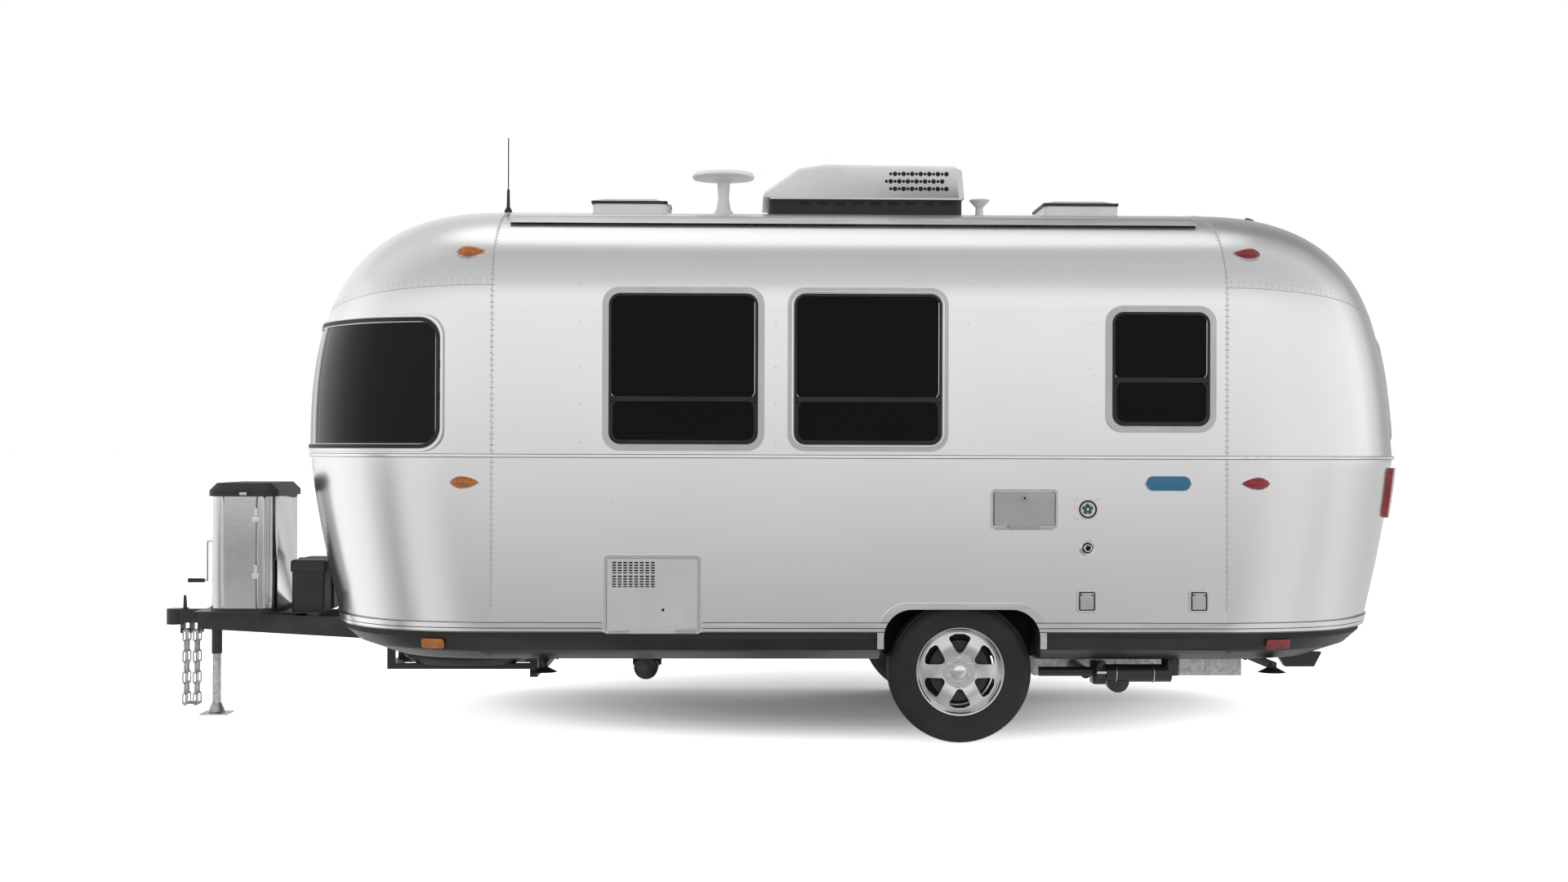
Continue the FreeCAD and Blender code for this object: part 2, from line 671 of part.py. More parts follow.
arm_y = S.wheel_track / 2 - S.tyre_width / 2 - 60
beam_z = S.belly_bottom - S.axle_beam / 2 - 4
axle_parts = [Part.makeCylinder(S.axle_beam / 2, 2 * arm_y, Vector(pivot_x, -arm_y, beam_z),
                                Vector(0, 1, 0))]
drum_inner_y = S.wheel_track / 2 - 30
plate_y = drum_inner_y - 14
for side in (-1, 1):
    outboard = Vector(0, side, 0)
    start = Vector(pivot_x - 30, side * (arm_y + S.arm_width / 2), beam_z)
    end = Vector(S.axle_x + 30, side * (arm_y + S.arm_width / 2), S.tyre_radius)
    axle_parts.append(beam(start, end, S.arm_width, S.arm_height))
    axle_parts.append(Part.makeCylinder(30, plate_y - arm_y - 10, Vector(S.axle_x,
                      side * (arm_y + 10), S.tyre_radius), outboard))
    axle_parts.append(Part.makeCylinder(S.drum_radius - 4, 6, Vector(S.axle_x,
                      side * (plate_y - 1), S.tyre_radius), outboard))
    axle_parts.append(Part.makeCylinder(17, drum_inner_y + 40 - arm_y, Vector(S.axle_x,
                      side * arm_y, S.tyre_radius), outboard))
    axle_parts.append(block(pivot_x - 60, pivot_x + 60, side * rail_y - 25,
                            side * rail_y + 25, beam_z, S.rail_bottom))
shaped("axle", group(axle_parts))

# Wheels: tyre, alloy rim with six spokes, and the drum behind it.


def revolved(profile, centre):
    """A closed half profile of (radius, y) points, spun about the wheel's Y axis."""
    points = [Vector(centre.x + radius, centre.y + y, centre.z) for radius, y in profile]
    face = Part.Face(Part.makePolygon(points + points[:1]))
    return face.revolve(centre, Vector(0, 1, 0), 360)


def wheel(side):
    """Tyre and rim of one side, at their place."""
    centre = Vector(S.axle_x, side * S.wheel_track / 2, S.tyre_radius)
    half = S.tyre_width / 2
    bead = S.rim_width / 2
    tyre = revolved([(S.rim_radius, -bead), (S.rim_radius + 40, -half + 6),
                     (S.tyre_radius - 60, -half), (S.tyre_radius - 14, -half + 20),
                     (S.tyre_radius, -half + 42), (S.tyre_radius, half - 42),
                     (S.tyre_radius - 14, half - 20), (S.tyre_radius - 60, half),
                     (S.rim_radius + 40, half - 6), (S.rim_radius, bead)], centre)
    rim_bed = revolved([(S.rim_radius, -bead), (S.rim_radius, bead),
                        (S.rim_radius - 14, bead), (S.rim_radius - 26, 0),
                        (S.rim_radius - 14, -bead)], centre)
    face_y = side * 40
    disc = Part.makeCylinder(S.rim_radius - 12, 30, centre + Vector(0, face_y, 0),
                             Vector(0, side, 0))
    for k in range(6):
        angle = math.radians(60 * k + 30)
        window = Part.makeCylinder(44, 80, centre + Vector(128 * math.cos(angle),
                                   face_y - side * 20, 128 * math.sin(angle)),
                                   Vector(0, side, 0))
        disc = disc.cut(window)
    cap = Part.makeCylinder(S.rim_bore, 46, centre + Vector(0, face_y, 0), Vector(0, side, 0))
    drum = Part.makeCylinder(S.drum_radius, S.drum_width, centre + Vector(0, -side * 30, 0),
                             Vector(0, side, 0))
    stub_room = Part.makeCylinder(17.05, 46, centre + Vector(0, -side * 31, 0),
                                  Vector(0, side, 0))
    hub = group([drum]).cut(stub_room)
    return tyre, group([rim_bed, disc, cap]).cut(stub_room), hub


for name, side in (("left", -1), ("right", 1)):
    tyre, rim, hub = wheel(side)
    shaped("tyre_" + name, tyre)
    shaped("rim_" + name, rim)
    shaped("hub_" + name, hub)

# Entry door on the curb side, cut from the wall that it closes.

door_glass_bar = rounded_prism(door_x[0] + 150, door_x[1] - 150, 1600, 2180, 60,
                               HALF - 200, HALF + 60)
door_skin = outer_hull.cut(inner_hull).common(door_block)
hinge_line = Vector(S.door_front_x - S.seal_gap / 2, HALF + S.door_hinge_radius + 6, 0)


def knuckle(centre_z, height, radius):
    return Part.makeCylinder(radius, height, Vector(hinge_line.x, hinge_line.y, centre_z))


HINGE_ZS = (820, 1490, 2080)
pin_radius = 4
door_leaves = []
wall_leaves = []
for z in HINGE_ZS:
    leaf = block(hinge_line.x, hinge_line.x + 46, HALF - 10, hinge_line.y, z, z + 40)
    door_leaves.append(leaf.fuse(knuckle(z, 40, S.door_hinge_radius)).cut(
        knuckle(z - 1, 42, pin_radius + 0.05)))
    for z0 in (z - 30.3, z + 40.3):
        bracket = block(hinge_line.x - 46, hinge_line.x, HALF, hinge_line.y, z0, z0 + 30)
        wall_leaves.append(bracket.fuse(knuckle(z0, 30, S.door_hinge_radius)))
    wall_leaves.append(knuckle(z - 20, 80, pin_radius))
door_handle = rounded_prism(door_x[1] - 110, door_x[1] - 40, 1180, 1330, 20, HALF - 10,
                            HALF + 22)
shaped("entry_door", group([door_skin.cut(door_glass_bar), door_handle] + door_leaves))
glass_bar = rounded_prism(door_x[0] + 150, door_x[1] - 150, 1600, 2180, 60,
                          HALF - 200, HALF + 60)
shaped("door_glass", glass_bar.common(hull(8, S.shell_bottom)).cut(hull(14, S.shell_bottom)))
entry_hinges = [group(wall_leaves[k:k + 3]) for k in (0, 3, 6)]

# Small doors on the street side, hung in their frames.

shaped("door_frames", Part.makeCompound(entry_hinges + [hatch_frame, lid_parts[0][0],
                                                        lid_parts[1][0], heater_frame]))
shaped("service_hatch", hatch_panel)
shaped("outlet_lid_front", lid_parts[0][1])
shaped("outlet_lid_rear", lid_parts[1][1])
shaped("heater_door", heater_panel)

power_plate = rounded_prism(S.inlet_x - 63, S.inlet_x + 63, S.power_inlet_z - 62,
                            S.power_inlet_z + 62, 24, -HALF - 8, -HALF)
power_ring = Part.makeCylinder(46, 12, Vector(S.inlet_x, -HALF - 8, S.power_inlet_z),
                               Vector(0, -1, 0))
power_hole = Part.makeCylinder(36, 22, Vector(S.inlet_x, -HALF - 30, S.power_inlet_z),
                               Vector(0, 1, 0))
power_pins = Part.makeCylinder(6, 10, Vector(S.inlet_x, -HALF - 8, S.power_inlet_z),
                               Vector(0, -1, 0))
water_plate = Part.makeCylinder(40, 7, Vector(S.inlet_x, -HALF, S.water_inlet_z),
                                Vector(0, -1, 0))
water_stub = Part.makeCylinder(19, 24, Vector(S.inlet_x, -HALF - 4, S.water_inlet_z),
                               Vector(0, -1, 0))
water_bore = Part.makeCylinder(13, 60, Vector(S.inlet_x, -HALF - 5, S.water_inlet_z),
                               Vector(0, -1, 0))
shaped("service_inlets", Part.makeCompound([
    group([power_plate, power_ring]).cut(power_hole).fuse(power_pins),
    group([water_plate, water_stub]).cut(water_bore)]))

# Roof equipment, each piece seated on the curved roof.


def seated(shape):
    return shape.cut(outer_hull)


def vent(x, sign):
    """A roof vent's frame and its lid, hinged at the rear edge."""
    half = S.vent_opening / 2
    top = S.roof_height + S.vent_height
    frame = rounded_post(x - half - 24, x + half + 24, -half - 24, half + 24,
                         S.roof_height - 60, top, 30)
    frame = frame.cut(block(x - half, x + half, -half, half, 0, HUGE))
    line_x, line_z = x + half + 34, top + 8
    low = block(x - half - 30, x + half + 24, -half - 30, half + 30, top + 2, top + 16)
    crown = Part.makeLoft([Part.makePolygon([Vector(x + a * (half + 30), b * (half + 30),
                                                    top + 16) for a, b in
                                             ((-1, -1), (0.8, -1), (0.8, 1), (-1, 1), (-1, -1))]),
                           Part.makePolygon([Vector(x + a * (half - 40), b * (half - 40),
                                                    top + S.vent_lid_height) for a, b in
                                             ((-1, -1), (1, -1), (1, 1), (-1, 1), (-1, -1))])],
                          True, True)
    leaf = block(x + half + 20, line_x, -60, 60, line_z - 3, line_z + 3)
    knuckle_mid = Part.makeCylinder(7, 120, Vector(line_x, -60, line_z), Vector(0, 1, 0))
    bore = Part.makeCylinder(3.05, 400, Vector(line_x, -200, line_z), Vector(0, 1, 0))
    lid = group([low, crown, leaf, knuckle_mid]).cut(bore)
    pin = Part.makeCylinder(3, 190, Vector(line_x, -95, line_z), Vector(0, 1, 0))
    posts = [block(x + half + 24, line_x + 4, y0, y0 + 20, top - 24, top)
             for y0 in (-90, 70)]
    posts += [block(x + half + 26, line_x + 4, y0, y0 + 20, top - 24, line_z + 4)
             for y0 in (-90, 70)]
    return group([frame, pin] + posts), lid


front_vent, front_lid = vent(S.front_vent_x, 1)
rear_vent, rear_lid = vent(S.rear_vent_x, 1)
shaped("vent_frames", Part.makeCompound([seated(front_vent), seated(rear_vent)]))
shaped("front_vent_lid", front_lid)
shaped("rear_vent_lid", rear_lid)

ac_y = S.ac_width / 2
pan_top = S.roof_height + S.ac_pan_height
shaped("ac_pan", seated(rounded_post(S.ac_front_x + 30, S.ac_rear_x - 10, -ac_y + 20,
                                     ac_y - 20, S.roof_height - 60, pan_top, 60)))
shroud_side = [(S.ac_front_x, pan_top), (S.ac_front_x + 6, pan_top + 30),
               (S.ac_front_x + 190, S.ac_top - 22), (S.ac_front_x + 330, S.ac_top),
               (S.ac_rear_x - 60, S.ac_top - 6), (S.ac_rear_x - 14, S.ac_top - 30),
               (S.ac_rear_x, pan_top)]
shroud_face = Part.Face(Part.makePolygon([Vector(x, -ac_y, z) for x, z in
                                          shroud_side + shroud_side[:1]]))
shroud = shroud_face.extrude(Vector(0, S.ac_width, 0))
rims = [e for e in shroud.Edges if e.CenterOfMass.z > pan_top + 20
        and abs(abs(e.CenterOfMass.y) - ac_y) < 1]
shaped("ac_shroud", shroud.makeFillet(34, rims))


def turned(profile, centre):
    """A closed half profile of (radius, height) points, spun about an upright axis."""
    points = [Vector(centre.x + radius, centre.y, centre.z + z) for radius, z in profile]
    return Part.Face(Part.makePolygon(points + points[:1])).revolve(centre,
                                                                     Vector(0, 0, 1), 360)


dish_base = Vector(S.dish_x, 0, S.roof_height - 4)
dish_rise = S.dish_top - S.roof_height + 4
dish = seated(turned(
    [(0, -20), (130, -20), (124, 8), (70, 26), (40, 60), (30, 120), (36, dish_rise - 60),
     (70, dish_rise - 44), (S.dish_radius - 6, dish_rise - 40), (S.dish_radius, dish_rise - 26),
     (S.dish_radius - 12, dish_rise - 8), (60, dish_rise), (0, dish_rise)], dish_base))
shaped("rod_antenna", seated(turned(
    [(0, -60), (22, -60), (20, 40), (9, 60), (7, 150), (3, 154), (3, S.rod_top - 2680),
     (0, S.rod_top - 2680)], Vector(S.rod_x, S.rod_y, 2680))))
funnel = seated(turned(
    [(0, -20), (52, -20), (50, 12), (24, 20), (20, 80), (56, 118), (54, 124), (0, 124)],
    Vector(S.funnel_x, 0, S.roof_height - 4)))
shaped("roof_fittings", Part.makeCompound([dish, funnel]))

# Marker lamps: a round end and a long point, half out of the skin.


def skin_point(x, z):
    """Half width of the outer skin at one station and height."""
    seam, full, lean = ((-S.front_seam, S.front_reach, 0) if x < 0
                        else (S.rear_seam, REAR_REACH, S.rear_lean))
    beyond = max(abs(x) - abs(seam), 0) / reach(z, 0, full, lean)
    return half_width(z, 0) * (1 - beyond**S.plan_power) ** (1 / S.plan_power)


def teardrop(round_x, point_x, y, z):
    """A lamp lens spun about its own length."""
    long = point_x - round_x
    profile = [(0, 0), (0.1, 0.55), (0.25, 0.92), (0.4, 1), (0.6, 0.86), (0.8, 0.52), (1, 0.05),
               (1, 0)]
    points = [Vector(round_x + a * long, y, z + b * S.lamp_height / 2) for a, b in profile]
    face = Part.Face(Part.makePolygon(points + points[:1]))
    return face.revolve(Vector(0, y, z), Vector(1, 0, 0), 360)


def marker(round_x, point_x, z, side):
    lens = teardrop(round_x, point_x, -skin_point((round_x + point_x) / 2, z), z)
    lens = seated(lens)
    return lens if side < 0 else mirrored_y(lens)


amber = [marker(x0, x1, z, side) for side in (-1, 1)
         for x0, x1, z in ((-1598, -1446, 2428), (-1616, -1465, 1292))]
red = [marker(x0, x1, z, side) for side in (-1, 1)
       for x0, x1, z in ((2396, 2248, 2436), (2422, 2272, 1295))]


def low_lamp(x0, x1, z0, z1, side):
    """A rounded lamp on the black skirt under the body."""
    bar = rounded_prism(x0, x1, z0, z1, 14, -HALF - 40, -HALF + 300)
    lens = bar.common(belly(-20, floor_low)).cut(belly(0, floor_low))
    return lens if side < 0 else mirrored_y(lens)


amber += [low_lamp(-1760, -1645, 474, 524, side) for side in (-1, 1)]
red += [low_lamp(2411, 2537, 476, 524, side) for side in (-1, 1)]
shaped("amber_lamps", Part.makeCompound(amber))
shaped("red_lamps", Part.makeCompound(red))

tail_bar = rounded_bar_x(560, 690, 1110, 1370, 40, S.rear_seam, HUGE)
tail_lens = tail_bar.common(hull(-24, S.shell_bottom)).cut(outer_hull)
shaped("tail_lamps", Part.makeCompound([tail_lens, mirrored_y(tail_lens)]))

# Under the body: holding tank pan, drain, hose tube, spare wheel, step, legs and skids.

tank = block(S.tank_front_x, S.tank_rear_x, -S.tank_width / 2, S.tank_width / 2,
             S.tank_bottom, S.belly_bottom)
shaped("tank_pan", tank)

drain_y, drain_z = -930, 330
drain = [Part.makeCylinder(S.pipe_radius, 330, Vector(1660, drain_y, drain_z),
                           Vector(1, 0, 0)),
         Part.makeCylinder(S.pipe_radius + 12, 60, Vector(1720, drain_y + 40, drain_z - 40),
                           Vector(0, -1, 0)),
         Part.makeCylinder(S.pipe_radius, 90, Vector(1990, drain_y, drain_z - 10),
                           Vector(0, 0, 1)),
         Part.makeCylinder(24, 420, Vector(1320, drain_y, drain_z + 8), Vector(1, 0, 0)),
         Part.makeCylinder(28, drain_y * -1 - S.tank_width / 2, Vector(1560, drain_y, drain_z),
                           Vector(0, 1, 0)),
         block(1590, 1650, drain_y - 60, drain_y + 60, drain_z - 50, drain_z + 62)]
drain_shape = group(drain)
shaped("drain_pipes", drain_shape.cut(belly(0, floor_low)))

tube_z = S.belly_bottom - S.hose_tube_radius - 8
tube = Part.makeCylinder(S.hose_tube_radius, S.hose_tube_length,
                         Vector(S.hose_tube_x, -770, tube_z), Vector(0, 1, 0))
straps = [block(S.hose_tube_x - 74, S.hose_tube_x + 74, y - 15, y + 15, tube_z,
                S.belly_bottom) for y in (-640, 0, 600)]
shaped("hose_tube", group([tube] + straps))

spare_centre = Vector(S.spare_x, 0, S.spare_z)
spare = turned([(S.rim_radius, 18), (S.rim_radius + 40, 4), (S.tyre_radius - 50, 0),
                (S.tyre_radius, 42), (S.tyre_radius, 178), (S.tyre_radius - 50, 218),
                (S.rim_radius + 40, 214), (S.rim_radius, 200)], spare_centre)
spare_rim = turned([(0, 60), (S.rim_radius - 20, 70), (S.rim_radius, 18),
                    (S.rim_radius, 200), (S.rim_radius - 14, 196), (S.rim_radius - 24, 84),
                    (0, 76)], spare_centre)
shaped("spare_tyre", spare)
shaped("spare_rim", spare_rim)
carrier_z = S.spare_z - 30
carrier = [block(S.spare_x - 420, S.spare_x + 430, y - 20, y + 20, carrier_z, S.spare_z)
           for y in (-170, 170)]
carrier += [block(S.spare_x - 420, S.spare_x - 380, -190, 190, carrier_z, S.spare_z),
            block(S.spare_x + 390, S.spare_x + 430, -560, 560, carrier_z, S.spare_z)]
carrier += [block(S.spare_x + 390, S.spare_x + 430, y - 20, y + 20, carrier_z,
                  S.belly_bottom) for y in (-540, 540)]
carrier += [block(S.spare_x - 420, S.spare_x - 380, y - 20, y + 20, carrier_z,
                  S.rail_bottom) for y in (-170, 170)]
shaped("spare_carrier", group(carrier).cut([belly(0, floor_low), chassis]))

skids = [Part.Face(Part.makePolygon([Vector(2600, y, 410), Vector(2650, y, 334),
                                     Vector(2800, y, 334), Vector(2840, y, 410),
                                     Vector(2600, y, 410)])).extrude(Vector(0, 50, 0))
         for y in (-670, 620)]
skids = [skid.cut(belly(0, floor_low)) for skid in skids]

step_house = block(S.step_x - S.step_width / 2 - 26, S.step_x + S.step_width / 2 + 26, 700,
                   985, S.step_height - 6, S.belly_bottom)
step_room = block(S.step_x - S.step_width / 2 - 6, S.step_x + S.step_width / 2 + 6, 690,
                  1000, 0, S.belly_bottom - 12)
ledges = [block(S.step_x + side * (S.step_width / 2 + 6) - 10,
                S.step_x + side * (S.step_width / 2 + 6) + 10, 700, 985,
                S.step_height - 6, S.step_height - 0.3) for side in (-1, 1)]
step_housing = group([step_house.cut(step_room)] + ledges)
tread = block(S.step_x - S.step_width / 2, S.step_x + S.step_width / 2, 760,
              760 + S.step_depth, S.step_height, S.step_height + 40)
shaped("entry_step", tread)


def stabiliser(x, side):
    """A stowed corner leg and the bracket that it swings on."""
    py, pz = side * S.stabiliser_pivot_y, S.stabiliser_pivot_z
    pin = Part.makeCylinder(8, 70, Vector(x - 35, py, pz), Vector(1, 0, 0))
    cheeks = [block(x - 35, x - 26, py - 25, py + 25, pz - 18, S.belly_bottom),
              block(x + 26, x + 35, py - 25, py + 25, pz - 18, S.belly_bottom),
              block(x - 35, x + 35, py - 25, py + 25, S.belly_bottom - 6, S.belly_bottom)]
    bracket = group(cheeks + [pin])
    y0, y1 = sorted((py, side * (S.stabiliser_pivot_y + S.stabiliser_length)))
    leg = block(x - 20, x + 20, y0, y1, pz - 15, pz + 15)
    hub = Part.makeCylinder(15, 40, Vector(x - 20, py, pz), Vector(1, 0, 0))
    foot_y = side * (S.stabiliser_pivot_y + S.stabiliser_length - 20)
    foot = Part.makeCone(20, 70, 26, Vector(x, foot_y, pz - 10), Vector(0, 0, -1))
    bore = Part.makeCylinder(8.05, 80, Vector(x - 40, py, pz), Vector(1, 0, 0))
    return bracket, group([leg, hub, foot]).cut(bore)


brackets = []
for end, x in (("front", S.stabiliser_front_x), ("rear", S.stabiliser_rear_x)):
    for name, side in (("left", -1), ("right", 1)):
        bracket, leg = stabiliser(x, side)
        brackets.append(bracket)
        shaped(f"leg_{end}_{name}", leg)
shaped("underbody_brackets", Part.makeCompound(brackets + skids + [step_housing]))


# Safety chains: two hanging loops of links under the tongue.

LINK_HALF = 28
LINK_END = 15
LINK_THICK = 8
LINK_PITCH = 2 * (LINK_HALF - LINK_THICK) - LINK_THICK - 0.4


def link(centre, along, twist):
    """One six-sided link, lying along its own run of the chain."""
    ring = [(-LINK_HALF, 0), (-LINK_HALF / 2, -LINK_END), (LINK_HALF / 2, -LINK_END),
            (LINK_HALF, 0), (LINK_HALF / 2, LINK_END), (-LINK_HALF / 2, LINK_END)]
    short = (LINK_HALF - LINK_THICK) / LINK_HALF
    narrow = (LINK_END - LINK_THICK) / LINK_END
    hole = [(a * short, b * narrow) for a, b in ring]
    faces = [Part.Face(Part.makePolygon([Vector(a, b, -LINK_THICK / 2) for a, b in
                                         outline + outline[:1]])) for outline in (ring, hole)]
    body = faces[0].cut(faces[1]).extrude(Vector(0, 0, LINK_THICK))
    turn = FreeCAD.Rotation(Vector(1, 0, 0), along)
    body.Placement = FreeCAD.Placement(centre, turn * FreeCAD.Rotation(Vector(1, 0, 0), twist))
    return body


def chain(y):
    """A loop hung from two points under the tongue, its links spaced along the curve."""
    width, top, sag = 46, S.coupler_height - 36.6, 428
    curve = [Vector(NOSE_X + 116 + width * (0.5 - 0.5 * math.cos(math.pi * k / 400)), y,
                    top - sag * math.sin(math.pi * k / 400) ** 0.8) for k in range(401)]
    links = []
    walked = LINK_PITCH - LINK_HALF
    for start, end in zip(curve, curve[1:]):
        walked += (end - start).Length
        if walked >= LINK_PITCH:
            walked -= LINK_PITCH
            links.append(link(end, end - start, 90 * (len(links) % 2) + 45))
    return links[:-1]


shaped("safety_chains", Part.makeCompound(chain(-32) + chain(32)))

doc.recompute()
for obj in doc.Objects:
    if {"Invalid", "Error"} & set(obj.State):
        raise RuntimeError(f"{obj.Name} failed: {obj.State}")
os.makedirs("parts", exist_ok=True)
for obj in nodes:
    shape = obj.Shape
    if shape.isNull() or not shape.isValid():
        raise RuntimeError(f"{obj.Label} has no valid shape")
    print(obj.Label, len(shape.Solids), round(shape.Volume / 1e6, 2))
    shape.exportStep(f"parts/{obj.Label}.step")
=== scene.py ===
import math

import bmesh
import bpy
from mathutils import Matrix, Vector
from mathutils.bvhtree import BVHTree


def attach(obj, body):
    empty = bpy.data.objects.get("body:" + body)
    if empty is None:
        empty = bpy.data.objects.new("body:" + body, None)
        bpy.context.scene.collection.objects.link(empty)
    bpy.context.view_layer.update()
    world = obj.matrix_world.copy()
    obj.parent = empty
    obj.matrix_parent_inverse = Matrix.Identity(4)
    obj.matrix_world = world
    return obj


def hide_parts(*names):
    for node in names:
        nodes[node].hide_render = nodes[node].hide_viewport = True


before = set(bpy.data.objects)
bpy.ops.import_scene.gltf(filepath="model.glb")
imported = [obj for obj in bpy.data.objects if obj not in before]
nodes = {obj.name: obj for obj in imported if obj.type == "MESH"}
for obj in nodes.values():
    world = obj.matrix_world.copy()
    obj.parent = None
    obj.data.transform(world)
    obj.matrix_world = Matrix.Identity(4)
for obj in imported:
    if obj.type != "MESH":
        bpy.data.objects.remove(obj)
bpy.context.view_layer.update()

# Camera: a 45 mm lens at standing height, square to the street side and 9.6 m away from it,
# turned a little towards the rear.


def linked(name, data):
    """A new object, linked to the scene."""
    made = bpy.data.objects.new(name, data)
    bpy.context.scene.collection.objects.link(made)
    return made
eye = Vector((-0.179, -10.834, 1.451))
yaw, pitch, roll = 0.0208, 0.005, 0.003
look = Vector((math.sin(yaw) * math.cos(pitch), math.cos(yaw) * math.cos(pitch), math.sin(pitch)))
level = Vector((math.cos(yaw), -math.sin(yaw), 0))
right = level * math.cos(roll) + level.cross(look) * math.sin(roll)
lens = bpy.data.cameras.new("camera")
lens.lens = 45
lens.sensor_width = 36
camera = linked("camera", lens)
turn = Matrix((right, right.cross(look), -look)).transposed()
camera.matrix_world = Matrix.Translation(eye) @ turn.to_4x4()
bpy.context.scene.camera = camera
bpy.context.scene.view_settings.view_transform = "Standard"

# Studio: a pale cove with grey flags high in front and at the back corners, so that bare metal
# shows soft bands, with one bank of light overhead and a broad fill from the street side.
def fed(tree, node, feeds):
    """Give a node's sockets their values, or link them where a feed is itself a socket."""
    for socket, value in feeds.items():
        if isinstance(value, bpy.types.NodeSocket):
            tree.links.new(value, node.inputs[socket])
        else:
            node.inputs[socket].default_value = value


def added(tree, kind, feeds, **settings):
    """A new node with its settings and feeds."""
    node = tree.nodes.new(kind)
    for name, value in settings.items():
        setattr(node, name, value)
    fed(tree, node, feeds)
    return node


def summed(tree, kind, *values):
    """One step of arithmetic on numbers or sockets."""
    return added(tree, "ShaderNodeMath", dict(enumerate(values)), operation=kind).outputs[0]


def blended(tree, factor, first, second, way="MIX"):
    """Mix, multiply or add two colours."""
    return added(tree, "ShaderNodeMix", {"Factor": factor, "A": first, "B": second},
                 data_type="RGBA", blend_type=way).outputs["Result"]


def graded(tree, value, stops, easing="LINEAR"):
    """Grey levels over a value, from the first stop's place to the last one's."""
    low, high = stops[0][0], stops[-1][0]
    spread = added(tree, "ShaderNodeMapRange", {"Value": value, "From Min": low, "From Max": high})
    levels = added(tree, "ShaderNodeValToRGB", {"Fac": spread.outputs["Result"]})
    levels.color_ramp.interpolation = easing
    ramp = levels.color_ramp.elements
    ramp[0].color = (stops[0][1],) * 3 + (1,)
    ramp[1].color = (stops[-1][1],) * 3 + (1,)
    for place, level in stops[1:-1]:
        ramp.new((place - low) / (high - low)).color = (level,) * 3 + (1,)
    return levels.outputs["Color"]


world = bpy.data.worlds.new("studio")
bpy.context.scene.world = world
world.use_nodes = True
tree = world.node_tree
tree.nodes.clear()
direction = tree.nodes.new("ShaderNodeTexCoord").outputs["Generated"]
parts = added(tree, "ShaderNodeSeparateXYZ", {"Vector": direction})


def banded(axis, stops):
    """Grey levels along one axis of the view round the studio, from -1 to 1."""
    return graded(tree, parts.outputs[axis], stops, "EASE")

by_height = banded("Z", [(-1, 0.6), (0.0, 1.0), (0.1, 1.06), (0.3, 0.94), (0.5, 0.7),
                         (0.86, 0.64), (1, 0.56)])
before_nose = banded("Y", [(-1, 1.0), (-0.6, 0.95), (-0.25, 0.95), (0.1, 1.1), (0.4, 1.2),
                           (0.75, 1.05), (1, 1.0)])
behind_tail = banded("Y", [(-1, 1.0), (-0.6, 0.95), (-0.1, 1.0), (0.2, 1.08), (0.45, 0.8),
                           (0.7, 0.42), (0.9, 0.5), (1, 0.8)])
toward_tail = banded("X", [(-1, 0), (-0.15, 0), (0.15, 1), (1, 1)])
round_about = blended(tree, toward_tail, before_nose, behind_tail)
shade = blended(tree, 1, by_height, round_about, "MULTIPLY")
tilted = added(tree, "ShaderNodeVectorMath", {0: direction, 1: (0, 0.438, 0.899)},
               operation="DOT_PRODUCT")
strip = added(tree, "ShaderNodeMapRange",
              {"Value": tilted.outputs["Value"], "From Min": 0.91, "From Max": 0.985, "To Min": 0,
               "To Max": 0.6}, interpolation_type="SMOOTHSTEP")
shade = blended(tree, 1, shade, strip.outputs["Result"], "ADD")
sweep = added(tree, "ShaderNodeBackground", {"Color": shade, "Strength": 0.92})
white = added(tree, "ShaderNodeBackground", {"Color": (1, 1, 1, 1)})
rays = tree.nodes.new("ShaderNodeLightPath").outputs
seen = summed(tree, "MAXIMUM", rays["Is Camera Ray"], rays["Is Transmission Ray"])
either = added(tree, "ShaderNodeMixShader", {"Fac": seen, 1: sweep.outputs["Background"],
                                             2: white.outputs["Background"]})
added(tree, "ShaderNodeOutputWorld", {"Surface": either.outputs["Shader"]})
for name, place, aim, size, power in (
        ("overhead", (0.2, 1.4, 7.5), (0.2, 0, 2), (9, 3.5), 120),
        ("fill", (-3.0, -9, 7.0), (0, 0, 1.2), (7, 3), 70)):
    lamp = bpy.data.lights.new(name, "AREA")
    lamp.shape = "RECTANGLE"
    lamp.size, lamp.size_y = size
    lamp.energy = power
    bank = linked(name, lamp)
    bank.visible_glossy = False
    bank.location = place
    bank.rotation_euler = (Vector(aim) - Vector(place)).to_track_quat("-Z", "Y").to_euler()

# Floor: a white painted sweep. For the camera it glows up to paper white, with the glow held low
# in an ellipse under the caravan: a painted shadow pool, inside which the real soft shadow shows.
# For bare metal it is a glow of painted reflection, darker towards the street and white at both
# ends.
def bare_finish(name):
    """A new material, with its node tree and its shader."""
    made = bpy.data.materials.new(name)
    made.use_nodes = True
    return made, made.node_tree, made.node_tree.nodes["Principled BSDF"]


def settled(bm, name):
    """Turn a bmesh into a mesh."""
    mesh = bpy.data.meshes.new(name)
    bm.to_mesh(mesh)
    bm.free()
    return mesh


floor_paint, tree, coat = bare_finish("floor_paint")
fed(tree, coat, {"Base Color": (0.88, 0.855, 0.845, 1), "Roughness": 0.75,
                 "Specular IOR Level": 0.2, "Emission Color": (1, 1, 1, 1)})
place = tree.nodes.new("ShaderNodeTexCoord").outputs["Object"]


def floor_reach(middle, scale):
    """Distance over the floor from one point, each axis on its own scale."""
    start = tuple(-m * k for m, k in zip(middle, scale))
    laid = added(tree, "ShaderNodeMapping", {"Vector": place, "Location": start, "Scale": scale})
    return added(tree, "ShaderNodeVectorMath", {0: laid.outputs["Vector"]},
                 operation="LENGTH").outputs["Value"]


